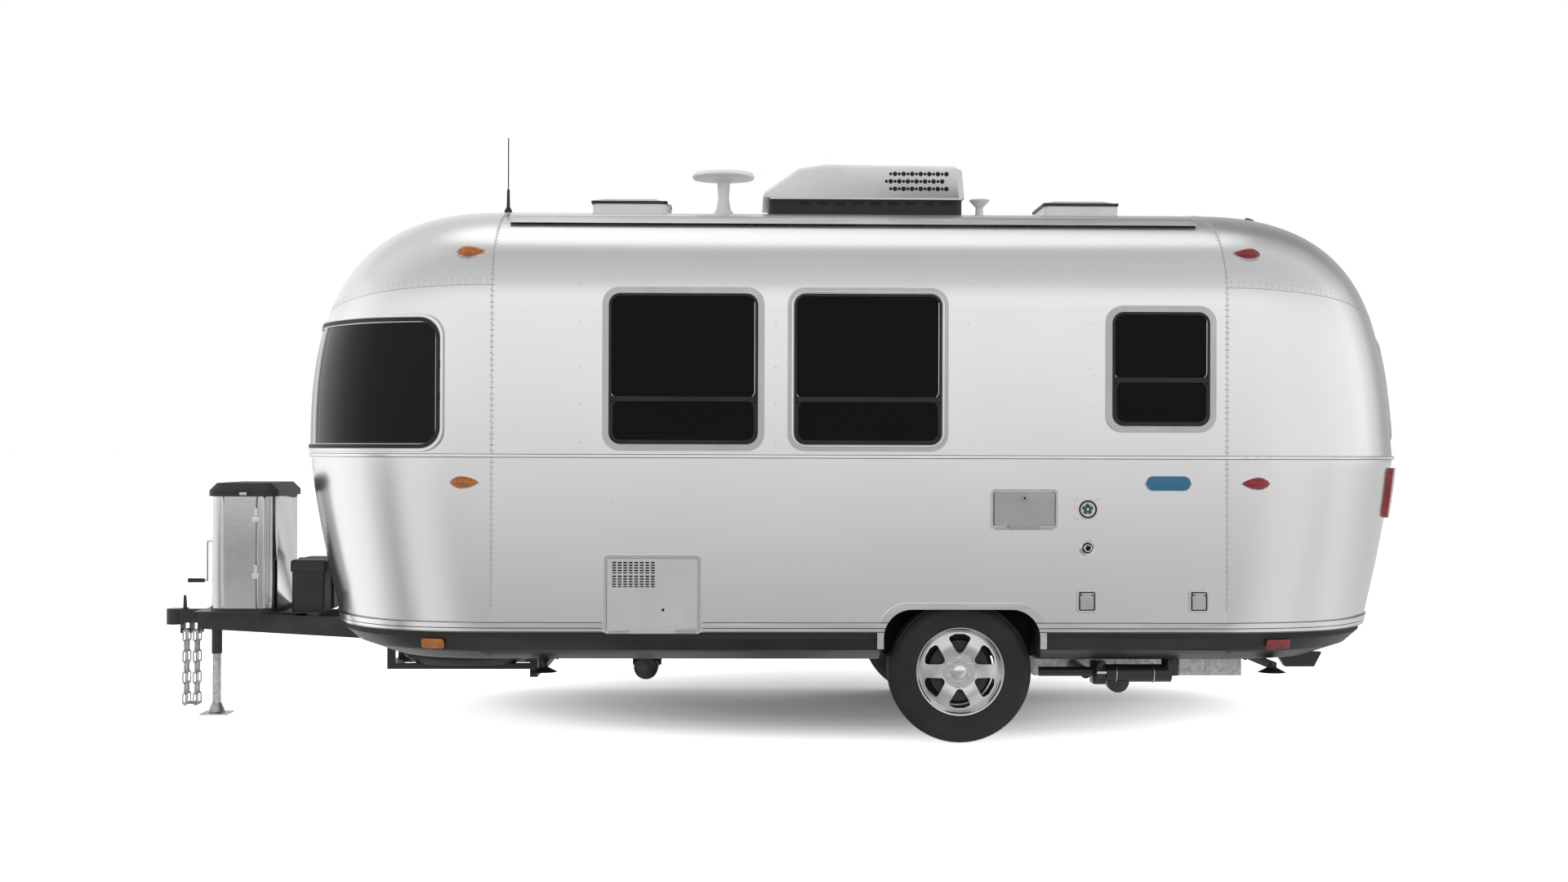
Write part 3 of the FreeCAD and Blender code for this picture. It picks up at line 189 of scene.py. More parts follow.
rays = tree.nodes.new("ShaderNodeLightPath").outputs
shown = summed(tree, "MAXIMUM", rays["Is Camera Ray"], rays["Is Transmission Ray"])
# Painted shadow: the camera's glow stays low in an ellipse under the caravan and lifts to white
# outside it.
under = floor_reach((0.5, 0.8, 0), (1 / 2.2, 1 / 1.75, 0))
lift_round_painted_shadow = graded(tree, under, [(0, 0.05), (0.5, 0.16), (0.7, 0.28), (0.88, 0.5), (1.02, 0.78),
                              (1.2, 0.96), (2, 0.96)])
fed(tree, coat, {"Emission Strength": summed(tree, "MULTIPLY", lift_round_painted_shadow, shown)})
axes = added(tree, "ShaderNodeSeparateXYZ", {"Vector": place}).outputs
paces = floor_reach((0, 0, 0), (1, 1, 0))
sideways = summed(tree, "ADD", summed(tree, "ABSOLUTE", axes["X"]),
                  summed(tree, "MULTIPLY", axes["Y"], 0.45))
sideways = summed(tree, "DIVIDE", sideways, summed(tree, "MAXIMUM", paces, 0.5))
# Painted reflection: bare metal sees the floor as a glow, dim near the caravan and brighter far
# off, with bands graded towards the nose and the tail.
street = graded(tree, paces, [(0, 0.34), (11, 0.4), (30, 0.43), (60, 0.56), (120, 0.85)])
nose_painted_reflection = graded(tree, sideways, [(0, 0.5), (0.25, 0.68), (0.48, 0.78), (0.68, 0.36),
                                   (0.8, 0.6), (0.93, 0.95), (1.1, 1.1)])
tail_painted_reflection = graded(tree, sideways, [(0, 0.5), (0.25, 0.66), (0.5, 0.74), (0.7, 0.66), (0.9, 0.78),
                                   (1.1, 0.6)])
painted_end_reflections = blended(tree, summed(tree, "GREATER_THAN", axes["X"], 0), nose_painted_reflection, tail_painted_reflection)
turned_out = added(tree, "ShaderNodeMapRange", {"Value": sideways, "From Max": 0.25},
                   interpolation_type="SMOOTHSTEP")
painted_reflection_glow = added(tree, "ShaderNodeEmission",
             {"Color": blended(tree, turned_out.outputs["Result"], street, painted_end_reflections)})
either = added(tree, "ShaderNodeMixShader", {"Fac": rays["Is Glossy Ray"], 1: coat.outputs["BSDF"],
                                             2: painted_reflection_glow.outputs["Emission"]})
fed(tree, tree.nodes["Material Output"], {"Surface": either.outputs["Shader"]})
bm = bmesh.new()
bmesh.ops.create_grid(bm, x_segments=1, y_segments=1, size=120,
                      matrix=Matrix.Translation((0, 0, -0.002)))
studio_floor = linked("studio_floor", settled(bm, "studio_floor"))
studio_floor.data.materials.append(floor_paint)

# Shell: satin aluminium sheet on hoops, one skin from belt to roof and one below the belt.
# The sheets are a copy of the moulded shell with true normals, so that they shade as one curve.
half_body, seam_front, seam_rear = 1.22, 1.41, 2.205
belt, shoulder, roof_top, skirt = 1.432, 2.15, 2.725, 0.56
front_reach, rear_reach, rear_lean = 1.095, 1.123, 0.033
hoop_power, rise_power, plan_power = 2.5, 2.65, 2.3
tuck_under, tuck_power = 0.172, 1.4


def noise_fed(tree, scale, detail=2.0, stretch=(1, 1, 1)):
    """Noise over the piece's own coordinates, drawn out along an axis if wanted."""
    place = tree.nodes.new("ShaderNodeTexCoord").outputs["Object"]
    drawn = added(tree, "ShaderNodeMapping", {"Vector": place, "Scale": stretch})
    return added(tree, "ShaderNodeTexNoise", {"Vector": drawn.outputs["Vector"], "Scale": scale,
                                              "Detail": detail}).outputs["Fac"]


def ranged(tree, source, low, high):
    """Spread a 0.3 to 0.7 noise over low to high."""
    return added(tree, "ShaderNodeMapRange", {"Value": source, "From Min": 0.3, "From Max": 0.7,
                                              "To Min": low, "To Max": high}).outputs["Result"]


def coloured(tree, source, dark, light):
    """Blend two colours by a 0.3 to 0.7 noise."""
    return blended(tree, ranged(tree, source, 0, 1), (*dark, 1), (*light, 1))


def raised(tree, source, distance):
    """A relief of one depth."""
    return added(tree, "ShaderNodeBump", {"Height": source, "Strength": 1,
                                          "Distance": distance}).outputs["Normal"]


def coating(name, dark, light, rough, metallic=0.0, mottle=6.0, grain=220.0, relief=0.0004,
            stretch=(1, 1, 1), coat=0.0):
    """A finish with a mottled colour, an uneven sheen and a fine grain."""
    made, tree, shader = bare_finish(name)
    patches = noise_fed(tree, mottle, 3.0, stretch)
    fine = noise_fed(tree, grain, 2.0, stretch)
    fed(tree, shader, {"Metallic": metallic, "Coat Weight": coat,
                       "Base Color": coloured(tree, patches, dark, light),
                       "Roughness": ranged(tree, fine, *rough),
                       "Normal": raised(tree, fine, relief)})
    return made


def satin_sheet(name, tone, rough):
    """Rolled aluminium: a fine lengthways grain, with a slow wave where it spans its hoops."""
    made, tree, shader = bare_finish(name)
    dull = tuple(0.98 * c for c in tone)
    fine = noise_fed(tree, 90, 2.0, (0.04, 0.04, 1))
    fed(tree, shader, {"Metallic": 1,
                       "Base Color": coloured(tree, noise_fed(tree, 1.6), dull, tone),
                       "Roughness": ranged(tree, fine, rough - 0.004, rough + 0.006),
                       "Normal": raised(tree, noise_fed(tree, 1.7, 0.0), 0.0012)})
    return made


def hull_half(z):
    """The shell's half width at one height."""
    rise = min(max(z - shoulder, 0) / (roof_top - shoulder), 0.9999)
    return half_body * (1 - rise ** hoop_power) ** (1 / hoop_power)


def hull_reach(z, full, lean):
    """How far an end stands out from its seam at one height."""
    if z <= belt:
        return full - tuck_under * min((belt - z) / (belt - skirt), 1.5) ** tuck_power
    rise = min((z - belt) / (roof_top - belt), 0.9999)
    return (full - lean * (1 - (1 - rise) ** 4)) * (1 - rise ** rise_power) ** (1 / rise_power)


def hull_level(x, y, z):
    """1 on the shell's outer form and less inside it."""
    if -seam_front < x < seam_rear:
        rise = max(z - shoulder, 0) / (roof_top - shoulder)
        return ((abs(y) / half_body) ** hoop_power + rise ** hoop_power) ** (1 / hoop_power)
    seam, full, lean = (seam_front, front_reach, 0) if x < 0 else (seam_rear, rear_reach, rear_lean)
    along = (abs(x) - seam) / hull_reach(z, full, lean)
    return (along ** plan_power + (abs(y) / hull_half(z)) ** plan_power) ** (1 / plan_power)


def hull_normal(point):
    """The way out of the shell's outer form at one point."""
    step, slopes = 0.0008, []
    for axis in range(3):
        ahead, behind = list(point), list(point)
        ahead[axis] += step
        behind[axis] -= step
        slopes.append(hull_level(*ahead) - hull_level(*behind))
    return Vector(slopes).normalized()


def dress(name, finish):
    """Give a CAD node its finish."""
    nodes[name].data.materials.clear()
    nodes[name].data.materials.append(finish)


def put(name, mesh, finish, body="coach", replaced=()):
    """Show a finished mesh as a piece that rides on one body."""
    mesh.materials.clear()
    mesh.materials.append(finish)
    piece = linked(name, mesh)
    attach(piece, body)
    if replaced:
        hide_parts(*replaced)
    return piece


def merged(node, keep=None):
    """A CAD node's mesh as one joined bmesh, or those faces whose middle passes a test."""
    bm = bmesh.new()
    bm.from_mesh(nodes[node].data)
    bmesh.ops.remove_doubles(bm, verts=bm.verts, dist=0.00002)
    if keep:
        gone = [f for f in bm.faces if not keep(f.calc_center_median())]
        bmesh.ops.delete(bm, geom=gone, context="FACES")
    return bm


def sheet_copy(node, name, finish, body="coach", keep=None):
    """A shell panel whose faces shade by the shell's own form, and its cut edges flat."""
    mesh = settled(merged(node, keep), name)
    mesh.shade_smooth()
    at = [hull_normal(v.co) for v in mesh.vertices]
    split = []
    for face in mesh.polygons:
        for corner in face.vertices:
            facing = face.normal.dot(at[corner])
            true = at[corner] if facing > 0 else -at[corner]
            split.append(true if abs(facing) > 0.9 else face.normal)
    mesh.normals_split_custom_set(split)
    return put(name, mesh, finish, body, [node])


def smoothed(name, mesh, finish, body, replaced, angle):
    """Show a mesh with its curves shaded smooth and its large flats kept flat."""
    mesh.shade_smooth()
    mesh.set_sharp_from_angle(angle=angle)
    piece = put(name, mesh, finish, body, replaced)
    weighed = piece.modifiers.new("flats", "WEIGHTED_NORMAL")
    weighed.keep_sharp = True


def smooth_copy(node, name, finish, body="coach", angle=0.6, keep=None):
    """A CAD node, or a part of it, with its curved faces shaded smooth."""
    smoothed(name, settled(merged(node, keep), name), finish, body, [node], angle)


wall_sheet = satin_sheet("wall_sheet", (0.9, 0.9, 0.905), 0.22)
end_sheet = satin_sheet("end_sheet", (0.88, 0.88, 0.885), 0.21)
sheet_copy("front_end", "front_end_sheet", end_sheet)
sheet_copy("rear_end", "rear_end_sheet", end_sheet)
sheet_copy("street_wall", "street_wall_sheet", wall_sheet)
sheet_copy("curb_wall", "curb_wall_sheet", wall_sheet)
sheet_copy("roof", "roof_sheet", wall_sheet)
sheet_copy("entry_door", "entry_door_sheet", wall_sheet, "entry_door")

# Rivets: solid heads along the lapped edges of the sheets, in staggered pairs down the end
# seams, single along the hoops between the windows, each one set square to the skin.
rivet_metal = coating("rivet_metal", (0.6, 0.6, 0.61), (0.82, 0.82, 0.82), (0.2, 0.32), 1.0)
def node_net(node):
    """A CAD node's mesh, for rays to meet."""
    bm = merged(node)
    net = BVHTree.FromBMesh(bm)
    bm.free()
    return net


shell_nets = [node_net(node) for node in ("front_end", "rear_end", "street_wall", "curb_wall",
                                          "roof")]


def skin_hit(start, toward):
    """Where a line from outside first meets the shell, with the skin's direction there."""
    best = None
    for net in shell_nets:
        point, _, _, reach = net.ray_cast(start, toward.normalized())
        if point is not None and (best is None or reach < best[2]):
            best = (point, hull_normal(point), reach)
    return best


def spaced(points, pitch):
    """Points every pitch along a line of skin points."""
    chosen, walked = [], pitch / 2
    for before, after in zip(points, points[1:]):
        walked += (after[0] - before[0]).length
        if walked >= pitch:
            walked -= pitch
            chosen.append(after)
    return chosen


def over_hoop(x, steps=900):
    """The skin's section at one station, from the street side's low edge to the curb side's."""
    points, low, high, middle = [], -0.21, 1.21, Vector((x, 0, 1.5))
    for k in range(steps + 1):
        a = math.pi * (low + (high - low) * k / steps)
        out = Vector((0, -math.cos(a), math.sin(a)))
        hit = skin_hit(middle + 3 * out, -out)
        if hit and hit[0].z > 0.64 and (hit[0] - middle).dot(out) > 0.8:
            points.append(hit)
    return points


def round_end(seam, way, height, drop, steps=500):
    """A lap line round one end, from seam to seam, that drops towards the middle."""
    points = []
    for k in range(steps + 1):
        a = math.pi * k / steps
        out = Vector((way * math.sin(a), -math.cos(a), 0))
        middle = Vector((seam, 0, height - drop * math.sin(a) * math.sin(a)))
        hit = skin_hit(middle + 3 * out, -out)
        if hit and (hit[0] - middle).dot(out) > 0.6:
            points.append(hit)
    return points


def squared(normal):
    """The turn that stands a piece square on a surface."""
    return normal.to_track_quat("Z", "Y").to_matrix().to_4x4()


def rod(bm, spot, lie, radius, depth, segments=16, tip=None):
    """A capped cylinder, or a cone where its tip has another radius."""
    return bmesh.ops.create_cone(bm, cap_ends=True, segments=segments, radius1=radius,
                                 radius2=radius if tip is None else tip, depth=depth,
                                 matrix=Matrix.Translation(spot) @ lie)["verts"]


def rivet(bm, hit, radius=0.0042):
    """A low head set square to the skin."""
    point, normal, _ = hit
    rod(bm, point + normal * 0.0006, squared(normal), radius, 0.0018, 7, radius * 0.45)


seams = (-seam_front, seam_rear)
lap_height = 2.262
upper_laps = ((-seam_front, -1, 0.115), (seam_rear, 1, 0.16))
rivet_rows = (0.72, 1.02, 1.49, 1.68, 1.86, 2.08, 2.27, 2.43)
hoop_columns = {-1: (-0.98, -0.02, 0.925, 1.53), 1: (-1.32, 0.42, 1.42, 1.53)}
loose_rivets = [(-1.84, 1.17), (-1.84, 0.87), (2.62, 1.17), (2.62, 0.87), (-0.82, 1.2),
                (-0.82, 1.06), (0.42, 0.99), (0.53, 0.97), (1.37, 0.96), (1.53, 0.85)]
bm = bmesh.new()
for x in seams:
    for shift, skipped in ((-0.0065, 0), (0.0075, 3)):
        for hit in spaced(over_hoop(x + shift)[skipped:], 0.028):
            rivet(bm, hit)
for seam, way, drop in upper_laps:
    for lift_by in (0.012, 0.03):
        for hit in spaced(round_end(seam, way, lap_height + lift_by, drop), 0.036):
            rivet(bm, hit)
for side, columns in hoop_columns.items():
    for x, z in [(x, z) for x in columns for z in rivet_rows] + loose_rivets:
        hit = skin_hit(Vector((x, side * 3, z)), Vector((0, -side, 0)))
        if hit:
            rivet(bm, hit, 0.0036)
mesh = settled(bm, "rivets")
mesh.shade_smooth()
put("rivets", mesh, rivet_metal)

# Laps: the edge of each upper sheet, one sheet's thickness proud of the one that it covers.
lap_metal = coating("lap_metal", (0.5, 0.5, 0.505), (0.62, 0.62, 0.62), (0.3, 0.4), 1.0)


def lap_strip(bm, line, width, thick):
    """A thin strip along a line of skin points."""
    last = None
    for k, (point, normal, _) in enumerate(line):
        along = (line[min(k + 1, len(line) - 1)][0] - line[max(k - 1, 0)][0]).normalized()
        across = along.cross(normal).normalized() * width / 2
        out = normal * thick
        row = [bm.verts.new(point + v) for v in (across, across + out, -across + out, -across)]
        if last:
            for a in range(3):
                bm.faces.new((last[a], last[a + 1], row[a + 1], row[a]))
        last = row


bm = bmesh.new()
for x in seams:
    lap_strip(bm, over_hoop(x, 300), 0.004, 0.0009)
for seam, way, drop in upper_laps:
    lap_strip(bm, round_end(seam, way, lap_height, drop, 200), 0.003, 0.0009)
bmesh.ops.recalc_face_normals(bm, faces=bm.faces)
mesh = settled(bm, "sheet_laps")
mesh.shade_smooth()
put("sheet_laps", mesh, lap_metal)

# Windows: a matt flange riveted on the skin, a black gasket, near-black glass with the blind
# just showing behind it, and a lower sash that hangs on a black rail. The front pane is one
# bent sheet in a bright bead.
flange_metal = coating("flange_metal", (0.56, 0.56, 0.565), (0.64, 0.64, 0.64), (0.34, 0.42), 1.0,
                       mottle=9, stretch=(1, 1, 0.3))
gasket_rubber = coating("gasket_rubber", (0.006, 0.006, 0.0065), (0.016, 0.016, 0.017),
                        (0.45, 0.6))
bright_bead = coating("bright_bead", (0.84, 0.84, 0.84), (0.92, 0.92, 0.92), (0.1, 0.18), 1.0)


def dark_glass(name, gloss, slat_tone):
    """Black-tinted glass over a drawn blind."""
    made, tree, shader = bare_finish(name)
    place = tree.nodes.new("ShaderNodeTexCoord").outputs["Object"]
    slats = added(tree, "ShaderNodeTexWave", {"Vector": place, "Scale": 6.5, "Distortion": 0.4,
                                              "Detail": 1}, bands_direction="Z")
    blind = added(tree, "ShaderNodeMapRange", {"Value": slats.outputs["Fac"], "From Min": 0.9})
    behind = summed(tree, "MULTIPLY", blind.outputs["Result"],
                    ranged(tree, noise_fed(tree, 2.6), 0, 1))
    tint = blended(tree, behind, (0.0012, 0.0012, 0.0014, 1), (slat_tone,) * 3 + (1,))
    fed(tree, shader, {"Specular IOR Level": gloss, "Base Color": tint,
                       "Roughness": ranged(tree, noise_fed(tree, 3.0), 0.03, 0.07)})
    return made


side_glass = dark_glass("side_glass", 0.1, 0.004)
front_glass = dark_glass("front_glass", 0.2, 0.002)
nose_edge = -1.63
sheet_copy("window_frames", "window_flanges", flange_metal)
sheet_copy("window_glass", "side_panes", side_glass,
           keep=lambda middle: middle.x > nose_edge)
sheet_copy("window_glass", "front_pane", front_glass,
           keep=lambda middle: middle.x <= nose_edge)
smooth_copy("door_glass", "door_pane", side_glass, "entry_door")


def edges_of(verts):
    return list({e for v in verts for e in v.link_edges})


def rounded(bm, geom, offset, segments=2, affect="EDGES"):
    """Round edges, or the corners of a flat face."""
    bmesh.ops.bevel(bm, geom=geom, offset=offset, affect=affect, segments=segments, profile=0.5,
                    material=-1)


def flat_plate(bm, place, radius, segments):
    """A flat rectangle with rounded corners."""
    before = set(bm.faces)
    made = bmesh.ops.create_grid(bm, x_segments=1, y_segments=1, size=0.5, matrix=place)
    rounded(bm, made["verts"], radius, segments, "VERTICES")
    return [f for f in bm.faces if f not in before]


def drawn_out(bm, faces, way, **kept):
    """Draw faces out and give the vertices that moved."""
    made = bmesh.ops.extrude_face_region(bm, geom=faces, **kept)["geom"]
    moved = [v for v in made if isinstance(v, bmesh.types.BMVert)]
    bmesh.ops.translate(bm, vec=way, verts=moved)
    return moved


def outward(side):
    """The turn that points a piece's Z out of one side wall."""
    return Matrix.Rotation(-side * math.pi / 2, 4, "X")


def wall_plate(bm, x0, x1, z0, z1, radius, y, depth, round_off=0.0, band=0.0, side=-1):
    """A rounded plate that stands out of a side wall, or only a band along its edge."""
    place = (Matrix.Translation(((x0 + x1) / 2, y, (z0 + z1) / 2)) @ outward(side)
             @ Matrix.Diagonal((x1 - x0, z1 - z0, 1, 1)))
    faces = flat_plate(bm, place, radius, 7)
    if band:
        ring = bmesh.ops.inset_region(bm, faces=faces, thickness=band, use_boundary=True,
                                      use_even_offset=True)["faces"]
        bmesh.ops.delete(bm, geom=faces, context="FACES_ONLY")
        faces = ring
    chosen = set(drawn_out(bm, faces, (0, side * depth, 0)))
    if round_off:
        rim = [e for e in bm.edges if e.verts[0] in chosen and e.verts[1] in chosen
               and len(e.link_faces) == 2 and e.calc_face_angle(0) > 0.9]
        rounded(bm, rim, round_off)


def lump(bm, corner, opposite, round_off):
    """A block between two corners with its edges rounded."""
    middle = [(a + b) / 2 for a, b in zip(corner, opposite)]
    size = [abs(b - a) for a, b in zip(corner, opposite)]
    made = bmesh.ops.create_cube(bm, size=1, matrix=Matrix.Translation(middle)
                                 @ Matrix.Diagonal((*size, 1)))
    rounded(bm, edges_of(made["verts"]), round_off)


def close_up(bm, name, finish, body="coach", replaced=(), angle=0.6):
    """Turn a bmesh of closed forms into a shown piece."""
    bmesh.ops.recalc_face_normals(bm, faces=bm.faces)
    smoothed(name, settled(bm, name), finish, body, replaced, angle)


side_windows = [(-0.87, -0.076, 1.45, 2.253, 1.703, -1), (0.038, 0.828, 1.45, 2.253, 1.703, -1),
                (1.604, 2.15, 1.546, 2.171, 1.804, -1), (-1.23, -0.56, 1.45, 2.253, 1.703, 1),
                (0.56, 1.29, 1.45, 2.253, 1.703, 1), (1.604, 2.15, 1.546, 2.171, 1.804, 1)]
bright_framed = (1, 4)
gaskets, beads, sashes = bmesh.new(), bmesh.new(), bmesh.new()
for number, (x0, x1, z0, z1, rail, side) in enumerate(side_windows):
    skin_y, inset = side * half_body, 0.031
    wall_plate(gaskets, x0 + inset, x1 - inset, z0 + inset, z1 - inset, 0.057,
               skin_y + side * 0.004, 0.0105, 0.003, 0.015, side)
    inset = 0.0465
    wall_plate(beads, x0 + inset - 0.006, x1 - inset, rail + 0.003, z1 - inset + 0.006, 0.036,
               skin_y + side * 0.004, 0.0085, 0.001, 0.003, side)
    if number in bright_framed:
        wall_plate(beads, x0 + 0.02, x1 - 0.02, z0 + 0.02, z1 - 0.02, 0.068,
                   skin_y + side * 0.01, 0.0055, 0.002, 0.007, side)
    wall_plate(sashes, x0 + 0.04, x1 - 0.04, z0 + 0.04, rail + 0.004, 0.05,
               skin_y + side * 0.006, 0.009, 0.003, 0.013, side)
    wall_plate(sashes, x0 + 0.04, x1 - 0.04, rail - 0.013, rail + 0.013, 0.004,
               skin_y + side * 0.006, 0.012, 0.003, side=side)


def nose_point(z, turned):
    """The front end's skin at one height; turned runs from the street seam to the nose."""
    out = hull_reach(z, front_reach, 0) * math.sin(turned) ** (2 / plan_power)
    return Vector((-seam_front - out, -hull_half(z) * math.cos(turned) ** (2 / plan_power), z))


flange_net = node_net("window_frames")


def front_outline(inset):
    """The front window's edge, a given distance inside its flange and lying on it."""
    x1, z0, z1, r = -1.648 - inset, 1.442 + inset, 2.118 - inset, 0.11 - 0.6 * inset
    corner = [math.pi / 2 * k / 8 for k in range(9)]
    flat = [(x1 - r + r * math.sin(a), z1 - r + r * math.cos(a)) for a in corner]
    flat += [(x1 - r + r * math.cos(a), z0 + r - r * math.sin(a)) for a in corner]
    turns = []
    for x, z in flat:
        share = (-x - seam_front) / hull_reach(z, front_reach, 0)
        turns.append((z, math.asin(share ** 1.15)))
    middle = math.pi / 2
    first = [(z1, middle + (turns[0][1] - middle) * k / 20) for k in range(20)]
    last = [(z0, turns[-1][1] + (middle - turns[-1][1]) * k / 20) for k in range(1, 21)]
    street = [nose_point(z, a) for z, a in first + turns + last]
    curb = [Vector((p.x, -p.y, p.z)) for p in reversed(street)]
    seated = []
    for p in street + curb[1:]:
        out = hull_normal(p)
        met = flange_net.ray_cast(p + out * 0.06, -out, 0.1)[0]
        seated.append((met or p + out * 0.0118, out, 0))
    return seated


lap_strip(beads, front_outline(0.008), 0.011, 0.0034)
lap_strip(gaskets, front_outline(0.026), 0.02, 0.0022)
catch_half = Vector((0.009, 0.012, 0.018))
for z in (1.71, 1.87):
    for side in (-1, 1):
        spot = Vector((-1.672, side * 1.201, z))
        lump(sashes, spot - catch_half, spot + catch_half, 0.004)
close_up(gaskets, "window_gaskets", gasket_rubber)
close_up(beads, "window_beads", bright_bead)
close_up(sashes, "window_sashes", gasket_rubber)

# Trims: bright extrusions that cover the belt and floor laps, the drip rails under the roof
# edge and the bands round the wheel openings, with dark lines of painted shade along their steps
# and edges.


def shade_lined_metal(name, tone, rough, shade_heights, half):
    """Extruded aluminium with painted shade lines at given heights, along its steps and edges."""
    made, tree, shader = bare_finish(name)
    place = tree.nodes.new("ShaderNodeTexCoord").outputs["Object"]
    height = added(tree, "ShaderNodeSeparateXYZ", {"Vector": place}).outputs["Z"]
    # Painted shade: a dark line at each given height, where a step or an edge falls in shade.
    dark = summed(tree, "COMPARE", height, shade_heights[0], half)
    for z in shade_heights[1:]:
        dark = summed(tree, "MAXIMUM", dark, summed(tree, "COMPARE", height, z, half))
    dull = tuple(0.93 * c for c in tone)
    bright = coloured(tree, noise_fed(tree, 7, 2.0, (0.3, 1, 1)), dull, tone)
    fine = noise_fed(tree, 60, 2.0, (0.05, 0.05, 1))
    fed(tree, shader, {"Metallic": 1, "Roughness": ranged(tree, fine, *rough),
                       "Base Color": blended(tree, dark, bright, (0.1, 0.1, 0.1, 1))})
    return made


belt_metal = shade_lined_metal("belt_metal", (0.93, 0.93, 0.93), (0.12, 0.2), (1.4155, 1.4308), 0.0016)
edge_metal = shade_lined_metal("edge_metal", (0.93, 0.93, 0.93), (0.12, 0.22), (0.5625, 0.581, 0.6085),
                         0.002)
gutter_metal = shade_lined_metal("gutter_metal", (0.86, 0.86, 0.86), (0.25, 0.35), (2.6435,), 0.0014)
smooth_copy("belt_trim", "belt_bead", belt_metal)
smooth_copy("lower_trim", "floor_edge_bead", edge_metal)
smooth_copy("drip_rails", "drip_gutters", gutter_metal)

# Underside: a black-coated aluminium pan, a sealed plywood floor with a painted edge, and a
# black painted steel chassis with its axle, carrier and brackets.
pan_black = coating("pan_black", (0.01, 0.01, 0.011), (0.024, 0.024, 0.025), (0.35, 0.5), mottle=4,
                    relief=0.0006)
frame_paint = coating("frame_paint", (0.012, 0.012, 0.013), (0.032, 0.032, 0.034), (0.35, 0.5),
                      mottle=12, relief=0.0008, coat=0.15)
sealed_board = coating("sealed_board", (0.02, 0.017, 0.014), (0.04, 0.034, 0.028), (0.6, 0.8),
                       mottle=14, stretch=(0.1, 1, 1))
well_black = coating("well_black", (0.006, 0.006, 0.006), (0.016, 0.016, 0.016), (0.7, 0.9))
smooth_copy("belly_pan", "belly_skirt", pan_black)
dress("floor", sealed_board)
dress("wheel_wells", well_black)
for node, name in (("chassis", "drawbar_and_rails"), ("axle", "axle_and_arms"),
                   ("underbody_brackets", "brackets_and_skids"), ("spare_carrier", "spare_cradle")):
    smooth_copy(node, name, frame_paint, angle=0.4)

# Tongue: a black coupler with its latch lever and a zinc pin, and a plated screw jack with a
# bright bent crank and a black grip.
zinc_plate = coating("zinc_plate", (0.4, 0.41, 0.42), (0.66, 0.67, 0.68), (0.32, 0.5), 1.0,
                     mottle=38, relief=0.0006)
crank_steel = coating("crank_steel", (0.66, 0.66, 0.67), (0.84, 0.84, 0.84), (0.14, 0.24), 1.0)
lid_plastic = coating("lid_plastic", (0.014, 0.014, 0.015), (0.03, 0.03, 0.031), (0.42, 0.55),
                      grain=420, relief=0.0005)
smooth_copy("coupler", "coupler_housing", frame_paint,
            keep=lambda middle: middle.z < 0.577)
along_x, along_y = Matrix.Rotation(math.pi / 2, 4, "Y"), Matrix.Rotation(math.pi / 2, 4, "X")
bm = bmesh.new()
made = bmesh.ops.create_cube(bm, size=1, matrix=Matrix.Translation((-3.239, 0, 0.603))
                             @ Matrix.Diagonal((0.022, 0.022, 0.094, 1)))["verts"]
for v in made:
    if v.co.z > 0.6:
        v.co.x = -3.241 + (v.co.x + 3.239) * 0.5
rounded(bm, edges_of(made), 0.002)
lump(bm, (-3.249, -0.022, 0.556), (-3.223, 0.022, 0.58), 0.003)
rod(bm, (-3.236, 0, 0.574), along_y, 0.007, 0.052)
close_up(bm, "coupler_latch", frame_paint)
smooth_copy("jack_tube", "jack_sleeve", frame_paint)
crank_x, crank_top, crank_low, crank_bar = -3.12, 0.945, 0.73, 0.0065
bm = bmesh.new()
for x0, x1, z0, z1 in ((crank_x, -3.097, crank_top, crank_top),
                       (crank_x, crank_x, crank_low, crank_top),
                       (-3.137, crank_x, crank_low, crank_low)):
    rod(bm, ((x0 + x1) / 2, 0, (z0 + z1) / 2), along_x if z0 == z1 else Matrix(), crank_bar,
        math.hypot(x1 - x0, z1 - z0))
for z in (crank_low, crank_top):
    bmesh.ops.create_uvsphere(bm, u_segments=16, v_segments=10, radius=crank_bar,
                              matrix=Matrix.Translation((crank_x, 0, z)))
close_up(bm, "jack_handle", crank_steel, replaced=["jack_crank"])
bm = bmesh.new()
made = rod(bm, (-3.179, 0, crank_low), along_x, 0.0125, 0.092, 24, 0.0115)
rounded(bm, [e for e in edges_of(made) if e.calc_face_angle(0) > 1], 0.003, 3)
close_up(bm, "jack_grip", lid_plastic, replaced=["jack_crank"])
smooth_copy("jack_ram", "jack_leg", zinc_plate, "jack_ram")

# Safety chains: two loops of round-bar links, zinc plated, hung by pins from three small
# plates welded under the coupler. A link is a ring drawn out along its length.
chain_zinc = coating("chain_zinc", (0.3, 0.31, 0.32), (0.6, 0.61, 0.62), (0.25, 0.42), 1.0,
                     mottle=60)
bar, reach_half, round_half = 0.0045, 0.0335, 0.0135
run_xs, chain_y, low_z, first_z, pitch_z = (-3.2295, -3.1725), 0.03, 0.059, 0.0835, 0.0577


def chain_link(bm, place):
    """One link: a ring of round bar, drawn out along its length."""
    ring = bmesh.ops.create_circle(bm, segments=6, radius=bar, matrix=Matrix.Translation(
        (0, round_half, 0)) @ along_x)["verts"]
    edges = edges_of(ring)
    bmesh.ops.rotate(bm, cent=(0, 0, 0), matrix=Matrix.Rotation(math.pi / 12, 3, "Z"), verts=ring)
    before = set(bm.verts) - set(ring)
    bmesh.ops.spin(bm, geom=ring + edges, cent=(0, 0, 0), axis=(0, 0, 1), dvec=(0, 0, 0),
                   angle=2 * math.pi, steps=12, use_merge=True)
    made = [v for v in bm.verts if v not in before]
    for v in made:
        v.co.x += math.copysign(reach_half - round_half, v.co.x)
    bmesh.ops.transform(bm, matrix=place, verts=made)


